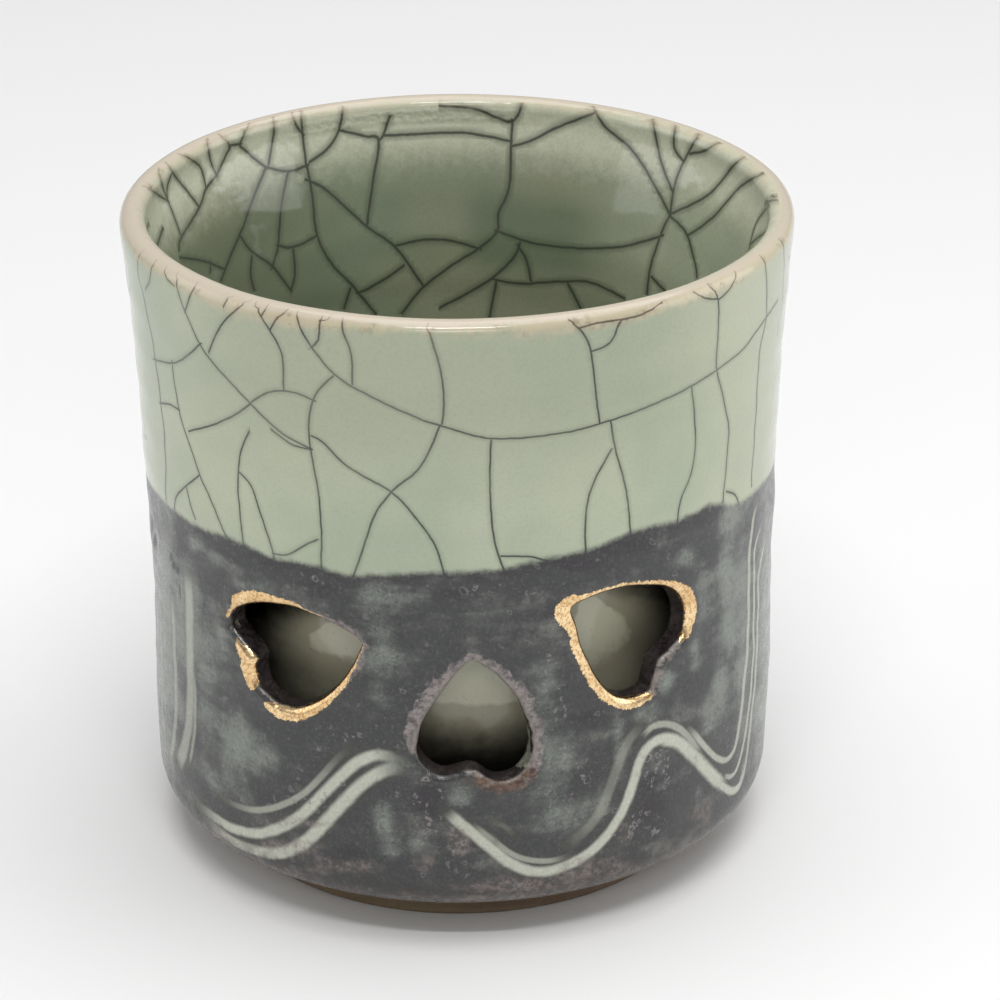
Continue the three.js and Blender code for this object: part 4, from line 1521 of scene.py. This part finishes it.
def heart_edges(tree, colours, dark, on):
    """Round the hearts: thin crusty glaze, the iron under the front one, and the cut itself."""
    edge = blend_colour(tree, on.crust, TINTS.border_dark, TINTS.border_pale)
    lipped = ramp(tree, plus(tree, on.lip, on.fine, 1.2), 0.45, 0.85, 1.0, 0.0)
    edge = blend_colour(tree, scaled(tree, lipped, 0.6), edge, TINTS.lip_pale)
    rusty = ramp(tree, plus(tree, on.rust, on.fine, 2.2), 0.15, 0.75)
    scorched = blend_colour(tree, scaled(tree, on.crust, 0.75), colours.rust, TINTS.scorch)
    flaked = blend_colour(tree, on.crust, TINTS.flake_dark, TINTS.flake_pale)
    cut = layered(
        tree, TINTS.cut,
        (scaled(tree, on.mottle, 0.35), TINTS.cut_mottle),
        (ramp(tree, plus(tree, on.flake, on.fine), 0.35, 0.5), flaked))
    return layered(
        tree, dark,
        (on.border, edge),
        (scaled(tree, rusty, ramp(tree, on.lip, 1.2, 1.9, 0.92, 0.0)), scorched),
        (ramp(tree, on.pit, 0.3, 0.6), TINTS.pinhole),
        (on.inside, cut))


def pinkish_rim(tree, colours, groups, glaze, core, on):
    """The rim over the celadon: thin and pinkish below, worn to the clay on top."""
    stained = plus(tree, on.level, centred(tree, on.wash), 0.9)
    stained = ramp(tree, plus(tree, stained, on.fine, 2.8), 78.5, 80.1, 0.0, 0.62)
    stain = ramp(tree, noise_value(tree, 500.0, 3.0, 0.7, 0.9), 0.54, 0.70)
    pinkish = layered(tree, TINTS.rim_pink, (scaled(tree, stain, 0.7), TINTS.rim_stain),
                      (scaled(tree, core, 0.85), TINTS.rim_crack))
    wear = ramp(tree, plus(tree, on.level, on.fine, 0.9), 80.05, 80.45)
    return use_group(tree, groups["rim"], glaze=blend_colour(tree, stained, glaze, pinkish),
                     clay=colours.rim, stain=TINTS.worn_crack, wear=wear, cracks=core)["Colour"]


def gold_leaf(tree, colours, glaze, on):
    """The worn and tarnished gold over everything else."""
    tarnish = ramp(tree, noise_value(tree, 2600.0, 2.0, 0.7, 0.4), 0.38, 0.54, 1.0, 0.0)
    leaf = layered(tree, colours.gold, (ramp(tree, on.patchy, -0.1, 0.14), TINTS.leaf),
                   (scaled(tree, tarnish, 0.7), TINTS.tarnish))
    return blend_colour(tree, on.gold, glaze, leaf)


def shell_roughness(tree, on):
    """Smooth celadon, a less even dark glaze, a dry border and wet spots."""
    rough = blend_value(tree, on.upper, ramp(tree, on.fine, -0.2, 0.2, 0.20, 0.32), 0.14)
    for mask, value in ((on.border, 0.42), (on.inside, 0.16), (ramp(tree, on.wet, 0.2, 0.5), 0.11),
                        (on.gold, 0.24)):
        rough = blend_value(tree, mask, rough, value)
    return rough


def shell_relief(tree, on):
    """Slow waves in the glaze, a grainy border and quicker ripples where it looks wet."""
    relief = scaled(tree, noise_value(tree, 260.0, 1.0, 0.5, 0.15), 0.5)
    grainy = scaled(tree, ramp(tree, on.bare, -0.2, 0.2), noise_value(tree, 1500.0, 2.0, 0.7, 0.8))
    ripples = scaled(tree, noise_value(tree, 900.0, 0.0, 0.5, 0.25), on.wet)
    return plus(tree, plus(tree, relief, grainy, 0.4), ripples, 2.2)


def shell_material(colours, groups):
    """Celadon above, dark glaze with slip below, thin glaze and gold round the hearts."""
    material, tree, shader = new_material("shell_glazes", colours.celadon)
    on = shell_masks(tree, groups)
    celadon, core = celadon_glaze(tree, colours, groups, on)
    dark = dark_glaze(tree, colours, groups, on)
    dark = heel_and_bubbles(tree, colours, groups, dark, on)
    dark = heart_edges(tree, colours, dark, on)
    glaze = blend_colour(tree, on.upper, dark, celadon)
    glaze = pinkish_rim(tree, colours, groups, glaze, core, on)
    glaze = gold_leaf(tree, colours, glaze, on)
    feed(tree, shader.inputs["Metallic"], on.gold)
    finish_shader(tree, shader, glaze, shell_roughness(tree, on), shell_relief(tree, on), 0.00012)
    return material


def bowl_glaze(tree, colours, groups, level, across, fine, grain, pale):
    """The bowl's glaze: greener clouds, painted light on the right and under the rim, painted shade on the
    left.
    """
    greener = use_group(tree, groups["clouds"], size=22.0, flatness=1.5, low=0.38, high=0.6)["Mask"]
    # Painted light: run makes the right of the far wall paler, where more light falls
    run = scaled(tree, ramp(tree, across, 0.012, 0.030), ramp(tree, level, 44.0, 66.0))
    # Painted shade: a darker, greener stripe high on the right of the far wall
    shade_band = between(tree, across, (-0.001, 0.004), (0.013, 0.021), 0.6)
    glaze = layered(
        tree, colours.bowl,
        (greener, colours.bowl_deep),
        (scaled(tree, run, 0.42), TINTS.bowl_painted_light_right),
        # Painted shade on the left of the bowl
        (ramp(tree, across, -0.026, -0.010, 0.62, 0.0), TINTS.bowl_painted_shade_left),
        (scaled(tree, shade_band, between(tree, level, (58.0, 62.0), (66.0, 72.0))), TINTS.bowl_painted_shade_band),
        # Painted light under the rim
        (scaled(tree, pale, 0.8), TINTS.bowl_painted_light_rim),
        (scaled(tree, ramp(tree, grain, 0.4, 0.7), 0.12), TINTS.bowl_speckle))
    distance = use_group(tree, groups["lines"], waver=scaled(tree, fine, 0.26))["Distance"]
    return use_group(
        tree, groups["stain"], glaze=glaze, halo=TINTS.bowl_halo, stain=colours.crack, distance=distance,
        narrow=0.06, wide=0.27, strength=0.85, reach=1.35, power=1.5, halo_strength=0.6)


def bowl_relief(tree, level, across, pale):
    """Slow waves in the bowl's glaze, ripples in the painted light under the rim, and beads under the far
    rim.
    """
    relief = scaled(tree, noise_value(tree, 200.0, 1.0, 0.5, 0.15), 0.5)
    ripples = scaled(tree, pale, noise_value(tree, 420.0, 1.0, 0.5, 0.35))
    beaded = scaled(tree, between(tree, level, (77.6, 78.4), (79.3, 79.9)),
                    between(tree, across, (-0.024, -0.017), (0.004, 0.014)))
    beads = scaled(tree, beaded, noise_value(tree, 1100.0, 1.0, 0.6, 0.45))
    return plus(tree, plus(tree, relief, ripples, 1.2), beads, 1.7)


def bowl_material(colours, groups):
    """The green crackled glaze of the bowl, paler under the rim with painted light, and bare on its edge."""
    material, tree, shader = new_material("bowl_glaze", colours.bowl)
    level = height_value(tree)
    across = parts_of(tree, place_on_cup(tree))["X"]
    fine, grain = use_group(tree, groups["grain"])
    # Painted light: the glaze is painted paler just under the rim
    pale = ramp(tree, plus(tree, level, fine, 3.0), 70.5, 77.5)
    glaze, core = bowl_glaze(tree, colours, groups, level, across, fine, grain, pale)
    stained = ramp(tree, plus(tree, level, fine, 2.6), 79.6, 80.7, 0.0, 0.4)
    glaze = blend_colour(tree, stained, glaze, TINTS.rim_pink)
    wear = ramp(tree, plus(tree, level, fine, 0.9), 80.5, 80.95)
    glaze = use_group(tree, groups["rim"], glaze=glaze, clay=colours.rim, stain=TINTS.worn_crack,
                      wear=wear, cracks=core)["Colour"]
    finish_shader(tree, shader, glaze, 0.08, bowl_relief(tree, level, across, pale), 0.00010)
    return material


def hollow_material(colours, groups):
    """The plain glaze in the hollow, seen through the hearts, with painted light near the top of each
    opening, a painted reflection at its brightest and painted shade below.
    """
    material, tree, shader = new_material("hollow_glaze", colours.celadon)
    # Painted light and shade: the hollow is lit near the top of each heart and dark below
    glow = attribute_parts(tree, "edges")["X"]
    lit = plus(tree, glow, centred(tree, noise_value(tree, 380.0, 2.0, 0.6, 0.2)), 0.16)
    pooled = use_group(tree, groups["clouds"], size=40.0, flatness=1.0, low=0.35, high=0.65)["Mask"]
    specks = ramp(tree, noise_value(tree, 1800.0, 2.0, 0.7), 0.62, 0.75)
    glaze = layered(
        tree, TINTS.hollow_painted_shade,
        (ramp(tree, lit, 0.10, 0.62), TINTS.hollow_painted_light),
        (ramp(tree, lit, 0.66, 0.72), blend_colour(tree, pooled, TINTS.hollow_painted_reflection, TINTS.hollow_painted_reflection_cool)),
        (scaled(tree, specks, 0.3), TINTS.hollow_specks))
    finish_shader(tree, shader, glaze, 0.12, noise_value(tree, 240.0, 1.0), 0.00010)
    return material


def clay_material(colours, groups):
    """Bare fired clay of the foot, with iron specks and turning marks."""
    material, tree, shader = new_material("bare_clay", colours.clay)
    warm = use_group(tree, groups["clouds"], size=50.0, flatness=3.0, low=0.35, high=0.65)["Mask"]
    specks = ramp(tree, noise_value(tree, 1500.0, 3.0, 0.7), 0.6, 0.72)
    specks = scaled(tree, specks, 0.6)
    clay = layered(tree, colours.clay, (warm, TINTS.clay_warm), (specks, TINTS.clay_specks))
    relief = plus(tree, noise_value(tree, 1200.0, 4.0, 0.7), noise_value(tree, 300.0, 2.0))
    finish_shader(tree, shader, clay, 0.75, relief, 0.00015)
    return material


# Each skin's material, then the region whose faces take it. A face with corners in two regions
# takes the first of hollow, foot and bowl
SKINS = {"shell": shell_material, "bowl": bowl_material, "hollow": hollow_material, "foot": clay_material}
SKIN_ORDER = ("hollow", "foot", "bowl")


def glaze_line_mm(photo, profile):
    """The height of the celadon's lower edge against the angle round the cup."""
    points = photo.on_wall_mm(GLAZE_LINE, profile.shell)
    angle = np.arctan2(points[:, 0], -points[:, 1])
    back = np.linspace(angle[-1] + 0.25, angle[0] + math.tau - 0.25, 14)
    waves = sum(size * np.sin(times * back + start) for size, times, start in BACK_GLAZE_WAVES)
    return np.append(angle, back), np.append(points[:, 2], BACK_GLAZE_LINE + waves)


def walls_of(regions, profile):
    """The walls that carry lines: their vertices, radius, unrolled radius, and whether the far side shows."""
    outside = (regions == REGIONS["shell"]) | (regions == REGIONS["lip"])
    return {
        "shell": (outside, profile.shell, SHELL_UNROLLED, False),
        "bowl": (regions == REGIONS["bowl"], profile.bowl_face, BOWL_UNROLLED, True),
    }


def draw_cracks(points, walls, photo, glaze_line):
    """The cracks: as the photograph shows them, and grown further where it doesn't look."""
    def celadon_behind(spot):
        angle = (spot[0] / SHELL_UNROLLED + math.tau) % math.tau
        return 1.30 < angle < math.tau - 1.30 and spot[1] > np.interp(angle, *glaze_line) - 0.5

    def bowl_unseen(spot):
        angle = (spot[0] / BOWL_UNROLLED + math.pi) % math.tau - math.pi
        return abs(angle) < 1.75 or spot[1] < 52.0

    cracks = Drawing(points, "crack", CRACK_CHANNELS)
    drawn = (("shell", SHELL_CRACKS, celadon_behind), ("bowl", BOWL_CRACKS, bowl_unseen))
    for name, routes, allowed in drawn:
        mask, radius_at, radius, far = walls[name]
        lines = []
        for pixels in routes.values():
            lines.append(unrolled(photo.on_wall_mm(catmull_rom(pixels, 6), radius_at, far), radius))
            cracks.line(rolled(lines[-1], radius, radius_at), mask)
        seed, low, high, tries, longest, clear, (first, last), top, run = GROWN_CRACKS[name]
        for at in np.linspace(first, last, 9) * radius:
            lines.append(np.array([(at, top), (at + run[0], top + run[1])]))
        grower = Crackle(lines, math.tau * radius, low, high, seed)
        for route in grower.grow(allowed, tries, longest, clear):
            smooth = catmull_rom(route[::3], 3) if len(route) > 6 else route
            cracks.line(rolled(smooth, radius, radius_at), mask, strength=GROWN_STRENGTH)
    return cracks


def draw_slip(points, walls, photo):
    """The slip strokes: as the photograph shows them, and on round the back."""
    slip = Drawing(points, "slip", SLIP_CHANNELS)
    mask, radius_at, radius, _ = walls["shell"]
    strokes = []
    for pixels, half_pixels, strength, *fades in SLIP_STROKES.values():
        route = photo.on_wall_mm(catmull_rom(pixels, 6), radius_at)
        strokes.append((route, half_pixels * PIXEL_MM, strength, fades))
    for drop, half, strength in BACK_STROKES:
        degrees, height = catmull_rom(BACK_WAVE, 6).T
        route = rolled(np.column_stack([np.radians(degrees) * radius, height - drop]), radius, radius_at)
        strokes.append((route, half, strength, BACK_FADES))
    for route, half, strength, fades in strokes:
        slip.line(route, mask, half, strength, half * (1 + SLIP_SOFTNESS), fades)
    return slip


def painted(points, kind, photo, covered):
    """How strongly one kind of soft spot covers the points: as drawn in front, scattered behind."""
    pixels = photo.pixels(points)
    toward = (np.array(photo.eye) / MM - points)[:, :2]
    radial = points[:, :2]
    size = np.linalg.norm(toward, axis=1) * np.maximum(np.linalg.norm(radial, axis=1), 1e-6)
    facing = smoothstep((toward * radial).sum(1) / size, -0.30, 0.02)
    front = np.ones(len(points))
    for x, y, across, down, strength in SPOTS[kind]:
        gap = ((pixels[:, 0] - x) / across) ** 2 + ((pixels[:, 1] - y) / down) ** 2
        front *= 1 - strength * np.exp(-gap)
    dice = random.Random(kind)
    angle = np.degrees(np.arctan2(points[:, 0], -points[:, 1])) % 360
    behind = np.ones(len(points))
    for _ in range(SCATTER_COUNT if kind in SCATTERED else 0):
        middle, height, wide, tall, strength = (dice.uniform(*span) for span in SCATTER)
        gap = ((angle - middle) / wide) ** 2 + ((points[:, 2] - height) / tall) ** 2
        behind *= 1 - strength * np.exp(-gap)
    return np.where(covered, facing * (1 - front) + (1 - facing) * (1 - behind), 0.0)


def round_the_heart(table, share):
    """The widths of a given table at shares of the way round a heart, column by column."""
    table = np.array(table)
    table = np.vstack([table, table[:1]])
    table[-1, 0] += 1.0
    return [np.interp(share, table[:, 0], column) for column in table[:, 1:].T]


def gold_cover(heart, share, lip):
    """How far inside the gold a place near a heart is, in millimetres."""
    if not heart.gold:
        return np.full(len(share), NO_GOLD)
    inner, outer = round_the_heart(heart.gold, share)
    return np.minimum(lip - inner, outer - lip)


def border_cover(heart, share, lip):
    """How far inside the thin glaze round a heart a place is, in millimetres."""
    (width,) = round_the_heart(BORDERS[heart.name], share)
    return width - lip


def throw_walls(bm, profile):
    """Turns the body, and the hollow between its walls."""
    for layer in ("region", "heart"):
        bm.verts.layers.int.new(layer)
    for layer in ("lip", "way"):
        bm.verts.layers.float.new(layer)
    body = profile.body(BODY_STEP)
    shell_side = (body[:, 1] > profile.foot_height - 0.01) & (body[:, 0] > profile.foot_radius - 1.0)
    regions = np.full(len(body), REGIONS["bowl"])
    regions[:np.argmax(body[:, 1]) + 1] = REGIONS["shell"]
    regions[:np.argmax(shell_side) + 1] = REGIONS["foot"]
    spin_outline(bm, body, BODY_TURN, regions)
    hollow = profile.cavity(HOLLOW_STEP)
    spin_outline(bm, hollow, HOLLOW_TURN, np.full(len(hollow), REGIONS["hollow"]))


def dress_hearts(hearts, points, regions, owner, lip, way):
    """Brings the distance to each lip onto the shell, and gives the gold's and the border's cover."""
    gold = np.full(len(points), NO_GOLD)
    bare = np.full(len(points), NO_BORDER)
    flat = unrolled(points, hearts[0].radius)
    for heart in hearts:
        close = np.abs(flat - heart.centre).max(1) < heart.REACH + 1
        near = np.flatnonzero((regions == REGIONS["shell"]) & close)
        gap, index = heart.gap(flat[near], heart.outline)
        share = index / heart.SAMPLES
        lip[near] = np.minimum(lip[near], gap)
        gold[near] = np.maximum(gold[near], gold_cover(heart, share, gap))
        bare[near] = np.maximum(bare[near], border_cover(heart, share, gap))
        rings = np.flatnonzero(owner == heart.number)
        gold[rings] = gold_cover(heart, way[rings], lip[rings])
        bare[rings] = border_cover(heart, way[rings], lip[rings])
    return gold, bare


def above_line(points, glaze_line):
    """How far above the celadon's lower edge the points are, in millimetres."""
    angle = np.arctan2(points[:, 0], -points[:, 1])
    angle = np.where(angle < glaze_line[0][0], angle + math.tau, angle)
    return points[:, 2] - np.interp(angle, *glaze_line)


def finish_faces(bm):
    """Smooths every face and gives it the material of its region."""
    region_layer = vertex_layers(bm)[0]
    for face in bm.faces:
        face.smooth = True
        corners = [vert[region_layer] for vert in face.verts]
        skin = next((name for name in SKIN_ORDER if REGIONS[name] in corners), "shell")
        face.material_index = list(SKINS).index(skin)


def paint(mesh, points, regions, photo):
    """Stores the painted soft spots, three kinds in each attribute, the hollow's painted light and shade
    among them.
    """
    outside = (regions == REGIONS["shell"]) | (regions == REGIONS["lip"])
    for name, kinds in (("clouds", ("sage", "plum", "blush")), ("marks", ("froth", "pit", "rust")),
                        # The first of edges is the hollow's painted light and shade
                        ("edges", ("glow", "flake", "wet"))):
        covers = [painted(points, kind, photo, outside | (kind == "glow")) for kind in kinds]
        put_attribute(mesh, name, np.column_stack(covers))


class TEACUP_OT_throw(bpy.types.Operator):
    """Throw, cut and glaze the cup's one fired body"""

    bl_idname = "teacup.throw"
    bl_label = "Cup"

    def execute(self, context):
        scene = context.scene
        profile = Profile(scene.teacup_shape)
        photo = PhotoView(scene.teacup_stage)
        bm = bmesh.new()
        throw_walls(bm, profile)
        hearts = [Heart(number, name, photo, profile) for number, name in enumerate(HEARTS, 1)]
        for heart in hearts:
            cut_heart(bm, heart, profile)
        bmesh.ops.recalc_face_normals(bm, faces=bm.faces)
        points = np.array([vert.co[:] for vert in bm.verts])
        regions, owner, lip, way = (
            np.array([vert[layer] for vert in bm.verts]) for layer in vertex_layers(bm))

        gold, bare = dress_hearts(hearts, points, regions, owner, lip, way)
        glaze_line = glaze_line_mm(photo, profile)
        walls = walls_of(regions, profile)
        for vert, spot in zip(bm.verts, hand_thrown(points, regions, lip, profile)):
            vert.co = Vector(spot) * MM
        finish_faces(bm)
        mesh = bpy.data.meshes.new("teacup_body")
        bm.to_mesh(mesh)
        bm.free()
        for name, values in (("lip", lip), ("gold", gold), ("bare", bare),
                             ("glaze_line", above_line(points, glaze_line))):
            put_attribute(mesh, name, values)
        paint(mesh, points, regions, photo)
        draw_cracks(points, walls, photo, glaze_line).write(mesh)
        draw_slip(points, walls, photo).write(mesh)
        for spare in ("region", "way", "heart"):
            mesh.attributes.remove(mesh.attributes[spare])

        groups = {name: make() for name, make in GROUPS.items()}
        for make in SKINS.values():
            mesh.materials.append(make(scene.teacup_colours, groups))
        cup = bpy.data.objects.new("teacup_body", mesh)
        scene.collection.objects.link(cup)
        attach(cup, "root")
        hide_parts("teacup")
        return {"FINISHED"}


def hang_lamp(scene, name, spot, aim, wide, deep, power):
    """Hangs one rectangular lamp, which the camera doesn't see."""
    lamp = bpy.data.lights.new(name, "AREA")
    lamp.shape = "RECTANGLE"
    lamp.size = wide
    lamp.size_y = deep
    lamp.energy = power
    holder = bpy.data.objects.new(name, lamp)
    holder.location = spot
    holder.visible_camera = False
    holder.rotation_euler = (Vector(aim) - Vector(spot)).to_track_quat("-Z", "Y").to_euler()
    scene.collection.objects.link(holder)


class TEACUP_OT_stage(bpy.types.Operator):
    """Set the camera, the soft light and the pale table"""

    bl_idname = "teacup.stage"
    bl_label = "Stage"

    def execute(self, context):
        scene = context.scene
        stage = scene.teacup_stage
        lens = bpy.data.cameras.new("camera")
        lens.sensor_width = SENSOR_MM
        lens.lens = stage.lens
        lens.shift_x = stage.shift_x
        lens.shift_y = stage.shift_y
        lens.clip_start = 0.01
        camera = bpy.data.objects.new("camera", lens)
        camera.matrix_world = PhotoView(stage).matrix()
        scene.collection.objects.link(camera)
        scene.camera = camera
        scene.view_settings.view_transform = "Standard"

        world = bpy.data.worlds.new("studio")
        world.use_nodes = True
        sky = world.node_tree.nodes["Background"].inputs
        sky["Color"].default_value = (1.0, 1.0, 1.0, 1.0)
        sky["Strength"].default_value = stage.sky
        scene.world = world

        bm = bmesh.new()
        bmesh.ops.create_grid(bm, x_segments=2, y_segments=2, size=TABLE_HALF)
        mesh = bpy.data.meshes.new("table")
        bm.to_mesh(mesh)
        bm.free()
        material, _, shader = new_material("pale_table", stage.floor)
        shader.inputs["Base Color"].default_value = stage.floor
        shader.inputs["Roughness"].default_value = 0.6
        mesh.materials.append(material)
        table = bpy.data.objects.new("table", mesh)
        scene.collection.objects.link(table)

        for lamp in LAMPS:
            hang_lamp(scene, *lamp)
        return {"FINISHED"}


class TEACUP_PT_panel(bpy.types.Panel):
    """The cup's pieces and its stage"""

    bl_label = "Teacup"
    bl_idname = "TEACUP_PT_panel"
    bl_space_type = "VIEW_3D"
    bl_region_type = "UI"
    bl_category = "Teacup"

    def draw(self, context):
        for group, kind in SETTINGS.items():
            box = self.layout.box()
            for name in kind.__annotations__:
                box.prop(getattr(context.scene, group), name)
        self.layout.operator("teacup.stage")
        self.layout.operator("teacup.throw")


SETTINGS = {"teacup_shape": TeacupShape, "teacup_colours": TeacupColours, "teacup_stage": TeacupStage}
CLASSES = (*SETTINGS.values(), TEACUP_OT_stage, TEACUP_OT_throw, TEACUP_PT_panel)


def register():
    """Adds the classes and the scene's settings."""
    for cls in CLASSES:
        bpy.utils.register_class(cls)
    for name, kind in SETTINGS.items():
        setattr(bpy.types.Scene, name, PointerProperty(type=kind))


def unregister():
    """Takes the settings and the classes away."""
    for name in SETTINGS:
        delattr(bpy.types.Scene, name)
    for cls in reversed(CLASSES):
        bpy.utils.unregister_class(cls)


def main():
    """Builds the stage and the cup."""
    register()
    bpy.ops.teacup.stage()
    bpy.ops.teacup.throw()


if __name__ == "__main__":
    main()
